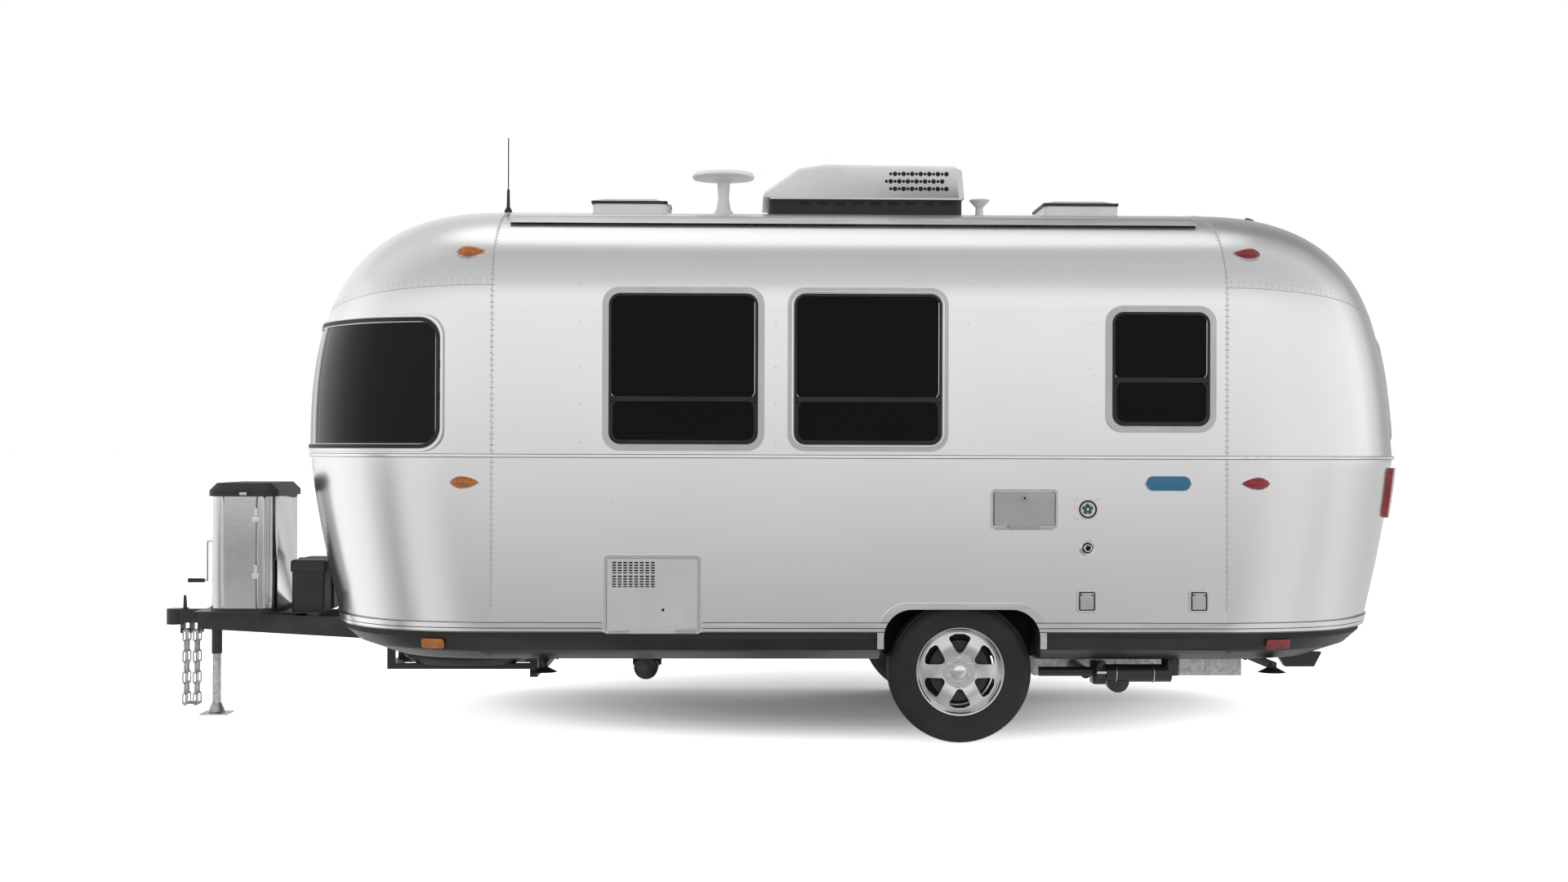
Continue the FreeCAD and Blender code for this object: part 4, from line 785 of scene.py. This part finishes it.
bm = bmesh.new()
upended = Matrix.Rotation(-math.pi / 2, 4, "Y")
across = Matrix.Rotation(math.pi / 2, 4, "Z") @ upended
for y in (-chain_y, chain_y):
    chain_link(bm, Matrix.Translation((sum(run_xs) / 2, y, low_z)))
    for x in run_xs:
        for k in range(7):
            spot = Matrix.Translation((x, y, first_z + k * pitch_z))
            chain_link(bm, spot @ (across, upended)[k % 2])
close_up(bm, "chain_links", chain_zinc, replaced=["safety_chains"], angle=1.2)
bm = bmesh.new()
pin_z = first_z + 6 * pitch_z + reach_half - 2 * bar
for x in (-3.25, sum(run_xs) / 2, -3.152):
    lump(bm, (x - 0.003, -0.046, pin_z - 0.011), (x + 0.003, 0.046, 0.502), 0.001)
close_up(bm, "chain_plates", frame_paint)
bm = bmesh.new()
for y in (-chain_y, chain_y):
    rod(bm, (-3.201, y, pin_z), along_x, 0.0045, 0.114, 12)
close_up(bm, "chain_pins", zinc_plate)

# Gas bottle cover: a polished stainless shroud on a black base, closed at the back by two
# toggles over its seam, under a moulded lid. The battery box stands behind it.
mirror_steel = coating("mirror_steel", (0.62, 0.62, 0.63), (0.72, 0.72, 0.72), (0.05, 0.1), 1.0,
                       mottle=3, relief=0.0002)


def slab(bm, x0, x1, y0, y1, z0, z1, radius, ease=0.0, steps=1):
    """A block with rounded upright corners and its top edge eased."""
    place = (Matrix.Translation(((x0 + x1) / 2, (y0 + y1) / 2, z0))
             @ Matrix.Diagonal((x1 - x0, y1 - y0, 1, 1)))
    base = flat_plate(bm, place, radius, 12)
    top = set(drawn_out(bm, base, (0, 0, z1 - z0), use_keep_orig=True))
    if ease:
        rounded(bm, [e for e in bm.edges if e.verts[0] in top and e.verts[1] in top], ease, steps)


smooth_copy("bottle_cover", "bottle_shroud", mirror_steel)
bm = bmesh.new()
slab(bm, -3.0315, -2.6785, -0.3235, 0.3235, 0.5785, 0.601, 0.093, 0.002)
close_up(bm, "bottle_base_ring", lid_plastic)
bm = bmesh.new()
slab(bm, -3.042, -2.668, -0.334, 0.334, 1.199, 1.271, 0.088, 0.04)
close_up(bm, "bottle_lid_cap", lid_plastic, replaced=["bottle_lid"],
         angle=0.5)
bm = bmesh.new()
slab(bm, -2.608, -2.434, -0.222, 0.222, 0.5785, 0.794, 0.016)
slab(bm, -2.616, -2.426, -0.23, 0.23, 0.793, 0.855, 0.02, 0.014, 3)
lump(bm, (-2.6185, -0.016, 0.5785), (-2.4235, 0.016, 0.8575), 0.002)
close_up(bm, "battery_case", lid_plastic, replaced=["battery_box"])
bm = bmesh.new()
for side in (-1, 1):
    lump(bm, (-2.7765, side * 0.32, 0.605), (-2.7735, side * 0.3215, 1.19), 0.0004)
close_up(bm, "bottle_seam", gasket_rubber)
bm = bmesh.new()
for side in (-1, 1):
    for z in (0.76, 1.06):
        y0, y1 = sorted((side * 0.3195, side * 0.332))
        lump(bm, (-2.795, y0, z), (-2.755, y1, z + 0.03), 0.003)
        lump(bm, (-2.785, y0, z + 0.03), (-2.765, y1 - 0.004, z + 0.075), 0.002)
    lump(bm, (-2.86, side * 0.333, 1.205), (-2.82, side * 0.345, 1.222), 0.003)
close_up(bm, "bottle_toggles", crank_steel)

# Wheels: bright machined alloy with six broad spokes, on radial tyres with ringed sidewalls.
machined = coating("machined_alloy", (0.66, 0.66, 0.67), (0.82, 0.82, 0.82), (0.22, 0.34), 1.0,
                   grain=300, relief=0.0002)
cast_black = coating("cast_black", (0.02, 0.02, 0.02), (0.05, 0.05, 0.05), (0.5, 0.7))
tyre_rubber = coating("tyre_rubber", (0.012, 0.012, 0.0125), (0.028, 0.028, 0.029), (0.55, 0.75),
                      mottle=5, grain=500, relief=0.0004)
smooth_copy("spare_tyre", "spare_tyre_body", tyre_rubber)
smooth_copy("spare_rim", "spare_wheel_disc", cast_black)


def spun(bm, profile, centre, steps, side=1):
    """Spin (radius, y) points round a wheel's axle line."""
    row = [bm.verts.new(Vector((centre.x + r, centre.y + side * y, centre.z))) for r, y in profile]
    edges = [bm.edges.new(pair) for pair in zip(row, row[1:])]
    bmesh.ops.spin(bm, geom=row + edges, cent=centre, axis=(0, 1, 0), dvec=(0, 0, 0),
                   angle=2 * math.pi, steps=steps, use_merge=True)
    bmesh.ops.remove_doubles(bm, verts=bm.verts, dist=0.00001)


axle_x, hub_y, axle_z = 0.902, 1.02, 0.357
outer_wall = [(0.207, -0.09), (0.217, 0.088), (0.2225, 0.1), (0.232, 0.104), (0.246, 0.1085),
              (0.262, 0.1105), (0.27, 0.1122), (0.275, 0.1105), (0.3, 0.1118), (0.306, 0.1124),
              (0.311, 0.1108)]
half_tread = [(0.328, 0.106), (0.341, 0.094), (0.349, 0.082), (0.3495, 0.064), (0.341, 0.063),
              (0.341, 0.057), (0.3502, 0.056), (0.3505, 0.028), (0.342, 0.027), (0.342, 0.021),
              (0.351, 0.02)]
inner_wall = [(0.27, -0.112), (0.232, -0.104), (0.217, -0.092), (0.207, -0.09)]
tyre_section = outer_wall + half_tread + [(r, -y) for r, y in reversed(half_tread)] + inner_wall
spoke_turns = [math.radians(60 * k + 30) for k in range(6)]
for word, side in (("left", -1), ("right", 1)):
    hub = Vector((axle_x, side * hub_y, axle_z))
    body = "wheel_" + word
    bm = bmesh.new()
    spun(bm, tyre_section, hub, 96, side)
    tread = []
    for f in bm.faces:
        middle = f.calc_center_median()
        out = math.hypot(middle.x - hub.x, middle.z - hub.z)
        if out > 0.3445 and f.calc_area() > 0.00016:
            tread.append(f)
    bmesh.ops.inset_individual(bm, faces=tread, thickness=0.0016, depth=0.0)
    for f in tread:
        middle = f.calc_center_median()
        out = Vector((middle.x - hub.x, 0, middle.z - hub.z)).normalized()
        bmesh.ops.translate(bm, vec=out * 0.0052, verts=f.verts)
    close_up(bm, "tyre_casing_" + word, tyre_rubber, body, ["tyre_" + word], 0.5)

    bm = bmesh.new()
    spun(bm, [(0.2, -0.094), (0.2, 0.072), (0.1945, 0.058), (0.186, 0.054), (0.184, -0.02),
              (0.19, -0.09), (0.2, -0.094)], hub, 72, side)
    spun(bm, [(0.202, 0.082), (0.2165, 0.0885), (0.2215, 0.0905), (0.2225, 0.096), (0.219, 0.1),
              (0.213, 0.099), (0.2065, 0.0915), (0.2025, 0.079), (0.1985, 0.071), (0.1945, 0.068),
              (0.193, 0.06), (0.2, 0.056), (0.202, 0.082)], hub, 72, side)
    close_up(bm, "rim_barrel_" + word, machined, body, ["rim_" + word])

    bm = bmesh.new()
    spun(bm, [(0.0, 0.062), (0.04, 0.062), (0.046, 0.0665), (0.078, 0.0665), (0.086, 0.073),
              (0.12, 0.079), (0.15, 0.077), (0.178, 0.069), (0.1945, 0.0655), (0.1945, 0.05),
              (0.15, 0.056), (0.1, 0.054), (0.04, 0.044), (0.0, 0.044)], hub, 72, side)
    bmesh.ops.recalc_face_normals(bm, faces=bm.faces)
    spokes = linked("spoke_face", settled(bm, "spoke_face"))
    bm = bmesh.new()
    for a in spoke_turns:
        corner = []
        for r, turn_by in ((0.178, -19.5), (0.186, -7), (0.186, 7), (0.178, 19.5), (0.096, 9),
                           (0.088, 0), (0.096, -9)):
            b = a + math.radians(turn_by)
            corner.append(bm.verts.new(hub + Vector((r * math.cos(b), 0, r * math.sin(b)))))
        bm.faces.new(corner)
        rounded(bm, [corner[0], corner[3]], 0.017, 5, "VERTICES")
    drawn_out(bm, list(bm.faces), (0, side * 0.12, 0))
    bmesh.ops.recalc_face_normals(bm, faces=bm.faces)
    cutter = linked("spoke_windows", settled(bm, "spoke_windows"))
    carve = spokes.modifiers.new("windows", "BOOLEAN")
    carve.object = cutter
    carve.operation = "DIFFERENCE"
    carve.solver = "EXACT"
    bpy.context.view_layer.update()
    cut_mesh = bpy.data.meshes.new_from_object(
        spokes.evaluated_get(bpy.context.evaluated_depsgraph_get()))
    bpy.data.objects.remove(spokes)
    bpy.data.objects.remove(cutter)
    bm = bmesh.new()
    bm.from_mesh(cut_mesh)
    sharp = [e for e in bm.edges if len(e.link_faces) == 2 and e.calc_face_angle(0) > 0.9
             and abs(e.calc_face_angle(0)) < 2.2
             and side * (sum((v.co.y for v in e.verts)) / 2 - hub.y) > 0.058]
    bmesh.ops.bevel(bm, geom=sharp, offset=0.0022, affect="EDGES", segments=2, profile=0.5,
                    material=-1, clamp_overlap=True)
    close_up(bm, "rim_spokes_" + word, machined, body, (), 0.5)

    bm = bmesh.new()
    spun(bm, [(0.0, 0.088), (0.02, 0.0875), (0.031, 0.084), (0.0355, 0.078), (0.037, 0.06),
              (0.0, 0.06)], hub, 40, side)
    for a in spoke_turns:
        spot = hub + Vector((0.0585 * math.cos(a), side * 0.073, 0.0585 * math.sin(a)))
        rod(bm, spot, outward(side), 0.0115, 0.017, 6, 0.0108)
        rod(bm, spot - Vector((0, side * 0.005, 0)), outward(side), 0.0135, 0.004, 14, 0.012)
    close_up(bm, "wheel_nuts_" + word, bright_bead, body)
    dress("hub_" + word, cast_black)
    bm = bmesh.new()
    spun(bm, [(0.02, -0.05), (0.176, -0.05), (0.178, -0.047), (0.176, -0.044), (0.02, -0.044),
              (0.02, -0.05)], hub, 48, side)
    close_up(bm, "brake_shield_" + word, cast_black)

# Roof gear: an air conditioner in a white moulded shroud with rows of round vents on a black
# slotted pan, its vent holes and slots drawn as thin black discs and bars of painted shade, two
# roof vents with pale domed lids on black gaskets, a mushroom aerial, a small funnel vent and a
# black rod aerial.
white_shell = coating("white_shell", (0.78, 0.78, 0.77), (0.86, 0.86, 0.85), (0.3, 0.42), mottle=5,
                      grain=300, relief=0.0003)
smoke_lid = coating("smoke_lid", (0.42, 0.42, 0.42), (0.55, 0.55, 0.55), (0.18, 0.28), mottle=5)
smooth_copy("ac_shroud", "cooler_shroud", white_shell)
smooth_copy("ac_pan", "cooler_pan", gasket_rubber)
smooth_copy("roof_fittings", "dish_and_funnel", white_shell)
smooth_copy("rod_antenna", "rod_aerial", lid_plastic)
smooth_copy("vent_frames", "vent_curbs", white_shell)
lid_edge = 2.8032
for end in ("front", "rear"):
    smooth_copy(end + "_vent_lid", end + "_vent_gasket", lid_plastic, end + "_vent_lid",
                keep=lambda middle: middle.z <= lid_edge)
    smooth_copy(end + "_vent_lid", end + "_vent_dome", smoke_lid, end + "_vent_lid",
                keep=lambda middle: middle.z > lid_edge)
# Painted shade: thin black discs on the shroud and bars on the pan, where the vent openings would
# be dark.
bm = bmesh.new()
for side in (-1, 1):
    for row in range(3):
        for column in range(7):
            x = 0.906 - 0.046 * column - 0.023 * (row % 2)
            for shift, radius in ((0, 0.0126), (0.023, 0.0085)):
                rod(bm, (x - shift, side * 0.3498, 2.857 + 0.04 * row), outward(side), radius,
                    0.0012)
    for column in range(9):
        x = 0.12 + 0.095 * column
        lump(bm, (x, side * 0.3295, 2.772), (x + 0.058, side * 0.3312, 2.79), 0.0006)
close_up(bm, "cooler_vent_shade", well_black)
bm = bmesh.new()
for side in (-1, 1):
    lump(bm, (-0.04, side * 0.331, 2.8), (0.99, side * 0.349, 2.8095), 0.002)
close_up(bm, "cooler_lip", white_shell)

# Street side doors and inlets: a grey moulded hatch, a pale heater door with a slatted
# louvre over dark sheets of painted shade, chromed flip lids, a white power socket and a bright
# water inlet.
hatch_grey = coating("hatch_grey", (0.4, 0.4, 0.405), (0.47, 0.47, 0.47), (0.4, 0.5), 0.3)
heater_paint = coating("heater_paint", (0.66, 0.66, 0.66), (0.72, 0.72, 0.72), (0.35, 0.45), 0.5)
chrome = coating("chrome", (0.7, 0.7, 0.71), (0.84, 0.84, 0.84), (0.06, 0.14), 1.0, mottle=20)
smooth_copy("door_frames", "small_door_frames", flange_metal)
smooth_copy("service_hatch", "hatch_panel", hatch_grey, "service_hatch")
smooth_copy("heater_door", "heater_panel", heater_paint, "heater_door")
smooth_copy("outlet_lid_front", "flip_lid_front", flange_metal, "outlet_lid_front")
smooth_copy("outlet_lid_rear", "flip_lid_rear", flange_metal, "outlet_lid_rear")
inlet_x, power_z, water_z = 1.515, 1.168, 0.977
between_inlets = 1.05
smooth_copy("service_inlets", "power_socket", white_shell,
            keep=lambda middle: middle.z > between_inlets)
smooth_copy("service_inlets", "water_inlet", chrome,
            keep=lambda middle: middle.z <= between_inlets)

slat_y = -1.2286
louvre_shade, louvre_slats = bmesh.new(), bmesh.new()
for bank in range(2):
    for column in range(8):
        x, z = -0.818 + 0.027 * column, 0.781 + 0.067 * bank
        # Painted shade: a dark sheet behind each bank of slats, in the louvre's openings.
        lump(louvre_shade, (x + 0.0005, slat_y - 0.0006, z + 0.0005),
             (x + 0.0185, slat_y, z + 0.0575), 0.0002)
        for k in range(4):
            low = z + 0.0065 + 0.0125 * k
            lump(louvre_slats, (x, slat_y - 0.0036, low),
                 (x + 0.019, slat_y - 0.0008, low + 0.0055), 0.0008)
close_up(louvre_shade, "louvre_shade_sheets", well_black, "heater_door")
close_up(louvre_slats, "louvre_slats", heater_paint, "heater_door")
bm = bmesh.new()
rod(bm, (-0.569, -1.2312, 0.6705), along_y, 0.007, 0.0016, 20)
rod(bm, (1.204, -1.2322, 1.222), along_y, 0.006, 0.0016, 20)
lump(bm, (1.2025, -1.2334, 1.217), (1.2055, -1.2328, 1.227), 0.0002)
close_up(bm, "latch_keyways", well_black, "coach")

socket_teal = coating("socket_teal", (0.0, 0.05, 0.06), (0.01, 0.12, 0.13), (0.25, 0.4), coat=0.3)
bm = bmesh.new()
centre = Vector((inlet_x, -1.2288, power_z))
for k in range(5):
    a = math.radians(90 + 72 * k)
    rod(bm, centre + Vector((0.017 * math.cos(a), 0, 0.017 * math.sin(a))), along_y, 0.0105, 0.005,
        14, 0.0095)
rod(bm, centre, along_y, 0.0125, 0.006, 20, 0.0115)
close_up(bm, "socket_face", socket_teal)


def turned_ring(bm, start, lie, thick, centre, axis, steps):
    """A round bar bent into a ring about an axis."""
    ring = bmesh.ops.create_circle(bm, segments=8, radius=thick,
                                   matrix=Matrix.Translation(start) @ lie)["verts"]
    bmesh.ops.spin(bm, geom=ring + edges_of(ring), cent=centre, axis=axis, dvec=(0, 0, 0),
                   angle=2 * math.pi, steps=steps, use_merge=True)


def wall_ring(bm, y, z, radius, thick):
    """A round bead that lies flat against the street wall at the inlets."""
    turned_ring(bm, (inlet_x + radius, y, z), Matrix(), thick, (inlet_x, y, z), (0, 1, 0), 40)


bm = bmesh.new()
wall_ring(bm, -1.2272, water_z, 0.036, 0.003)
for dx in (-0.05, 0.05):
    for dz in (-0.049, 0.049):
        rod(bm, (inlet_x + dx, -1.2292, power_z + dz), along_y, 0.0055, 0.003, 10, 0.004)
close_up(bm, "inlet_rings_and_screws", chrome)

lid_rims, seals = bmesh.new(), bmesh.new()
wall_ring(seals, -1.24, power_z, 0.0405, 0.0042)
wall_ring(seals, -1.2272, water_z, 0.0235, 0.0035)
rod(seals, (inlet_x, -1.2262, water_z), along_y, 0.0128, 0.002, 20)
for x in (1.513, 2.067):
    wall_plate(lid_rims, x - 0.049, x + 0.049, 0.663, 0.768, 0.014, -1.2278, 0.003, 0.001, 0.006)
    wall_plate(seals, x - 0.0385, x + 0.0385, 0.6695, 0.761, 0.006, -1.2281, 0.0012, band=0.005)
close_up(seals, "socket_and_lid_seals", well_black)
for x0, x1, z0, z1 in ((-0.861, -0.381, 0.553, 0.94), (1.0365, 1.3715, 1.065, 1.269)):
    wall_plate(lid_rims, x0, x1, z0, z1, 0.024, -1.2278, 0.002, 0.0008, 0.0045)
close_up(lid_rims, "door_rims", bright_bead)

# Lamps: amber at the front and red at the rear, clear moulded lenses on chromed bases, with
# a pair of small red lamps on the rear edge of the roof.


def lens_plastic(name, deep, clear):
    """A ribbed lens: a deep tint under a clear coat."""
    made, tree, shader = bare_finish(name)
    place = tree.nodes.new("ShaderNodeTexCoord").outputs["Object"]
    ribs = added(tree, "ShaderNodeTexWave", {"Vector": place, "Scale": 40}, bands_direction="X")
    fed(tree, shader, {"Coat Weight": 0.6, "Subsurface Weight": 0.15,
                       "Base Color": coloured(tree, noise_fed(tree, 30), deep, clear),
                       "Roughness": ranged(tree, noise_fed(tree, 160), 0.08, 0.2),
                       "Normal": raised(tree, ribs.outputs["Fac"], 0.0008)})
    return made


amber_lens = lens_plastic("amber_lens", (0.36, 0.1, 0.01), (0.56, 0.18, 0.02))
red_lens = lens_plastic("red_lens", (0.2, 0.004, 0.008), (0.36, 0.01, 0.014))
smooth_copy("amber_lamps", "amber_lenses", amber_lens)
smooth_copy("red_lamps", "red_lenses", red_lens)
smooth_copy("tail_lamps", "tail_lenses", red_lens)
teardrop = [(0, 0.004), (0.1, 0.58), (0.25, 0.95), (0.4, 1.03), (0.6, 0.9), (0.8, 0.57),
            (0.96, 0.2), (1.03, 0.004)]
lamp_half, lamp_wide = 0.0755, 0.0335
outline = [(2 * lamp_half * a - lamp_half, lamp_wide * b) for a, b in teardrop]
outline += [(u, -v) for u, v in reversed(outline[1:-1])]
bm = bmesh.new()
for x, way, z in ((-1.598, 1, 2.428), (-1.616, 1, 1.292), (2.396, -1, 2.436), (2.422, -1, 1.295)):
    for side in (-1, 1):
        beside = Vector((x + way * lamp_half, 0, z)) + Vector((0, side * 3, 0))
        hit = skin_hit(beside, Vector((0, -side, 0)))
        bend = squared(hit[1])
        ahead = (bend.inverted() @ Vector((way, 0, 0))).to_2d().normalized()
        sideways = Vector((-ahead.y, ahead.x))
        corners = [bm.verts.new(hit[0] + bend @ (ahead * u + sideways * v).to_3d())
                   for u, v in outline]
        drawn_out(bm, [bm.faces.new(corners)], hit[1] * 0.006)
close_up(bm, "lamp_bases", chrome)
bm = bmesh.new()
for y in (-0.42, 0.42):
    hit = skin_hit(Vector((2.52, y, 4)), Vector((0, 0, -1)))
    square = Matrix.Translation(hit[0] + hit[1] * 0.004) @ squared(hit[1])
    made = bmesh.ops.create_cube(bm, size=1,
                                 matrix=square @ Matrix.Diagonal((0.07, 0.028, 0.016, 1)))
    rounded(bm, edges_of(made["verts"]), 0.005, 3)
close_up(bm, "roof_edge_lamps", red_lens)

# Below the floor: a galvanised tank pan, black waste pipes with a bright clamp, the hose
# carrier, the sliding entry step and the corner legs.
pipe_plastic = coating("pipe_plastic", (0.012, 0.012, 0.013), (0.024, 0.024, 0.025), (0.25, 0.4),
                       coat=0.2)
smooth_copy("tank_pan", "tank_tray", zinc_plate)
bm = bmesh.new()
for k in range(5):
    x = 1.352 + 1.097 * (k + 1) / 6
    lump(bm, (x - 0.009, -0.51, 0.2685), (x + 0.009, 0.51, 0.2755), 0.002)
    for y in (-0.5525, 0.5525):
        lump(bm, (x - 0.009, y - 0.003, 0.29), (x + 0.009, y + 0.003, 0.405), 0.002)
close_up(bm, "tank_ribs", zinc_plate)
bm = bmesh.new()
rod(bm, (1.62, -1.015, 0.345), along_y, 0.0045, 0.06, 12)
lump(bm, (1.595, -1.052, 0.338), (1.645, -1.04, 0.352), 0.005)
close_up(bm, "drain_pull", crank_steel)
smooth_copy("drain_pipes", "waste_pipes", pipe_plastic)
smooth_copy("hose_tube", "hose_carrier", pipe_plastic)
dress("entry_step", zinc_plate)
for corner in ("front_left", "front_right", "rear_left", "rear_right"):
    smooth_copy("leg_" + corner, "leg_arm_" + corner, frame_paint, "leg_" + corner,
                0.4)
bm = bmesh.new()
for x in (1.71, 1.9):
    turned_ring(bm, (x, -0.93, 0.33 + 0.0465), along_y, 0.0035, (x, -0.93, 0.33), (1, 0, 0), 32)
close_up(bm, "pipe_clamps", zinc_plate)

# Entry door handle: one black moulded plate that stands on the door's sheet and swings with
# the door.
bm = bmesh.new()
wall_plate(bm, 0.178, 0.232, 1.192, 1.318, 0.016, 1.2395, 0.004, 0.0015, side=1)
close_up(bm, "door_handle_plate", lid_plastic, "entry_door")

# Badge: a pill-shaped plate of blue enamel in a chromed rim, fixed to the street wall below
# the rear side window and kept blank.
badge_enamel = coating("badge_enamel", (0.0, 0.13, 0.27), (0.0, 0.16, 0.32), (0.15, 0.25), coat=0.6)
badge_y = -half_body - 0.0002
bm = bmesh.new()
wall_plate(bm, 1.804, 2.026, 1.259, 1.331, 0.0355, badge_y, 0.0026, 0.0012)
close_up(bm, "blank_badge", badge_enamel)
bm = bmesh.new()
wall_plate(bm, 1.80, 2.03, 1.255, 1.335, 0.0399, badge_y, 0.003, 0.001, 0.005)
close_up(bm, "badge_rim", chrome)
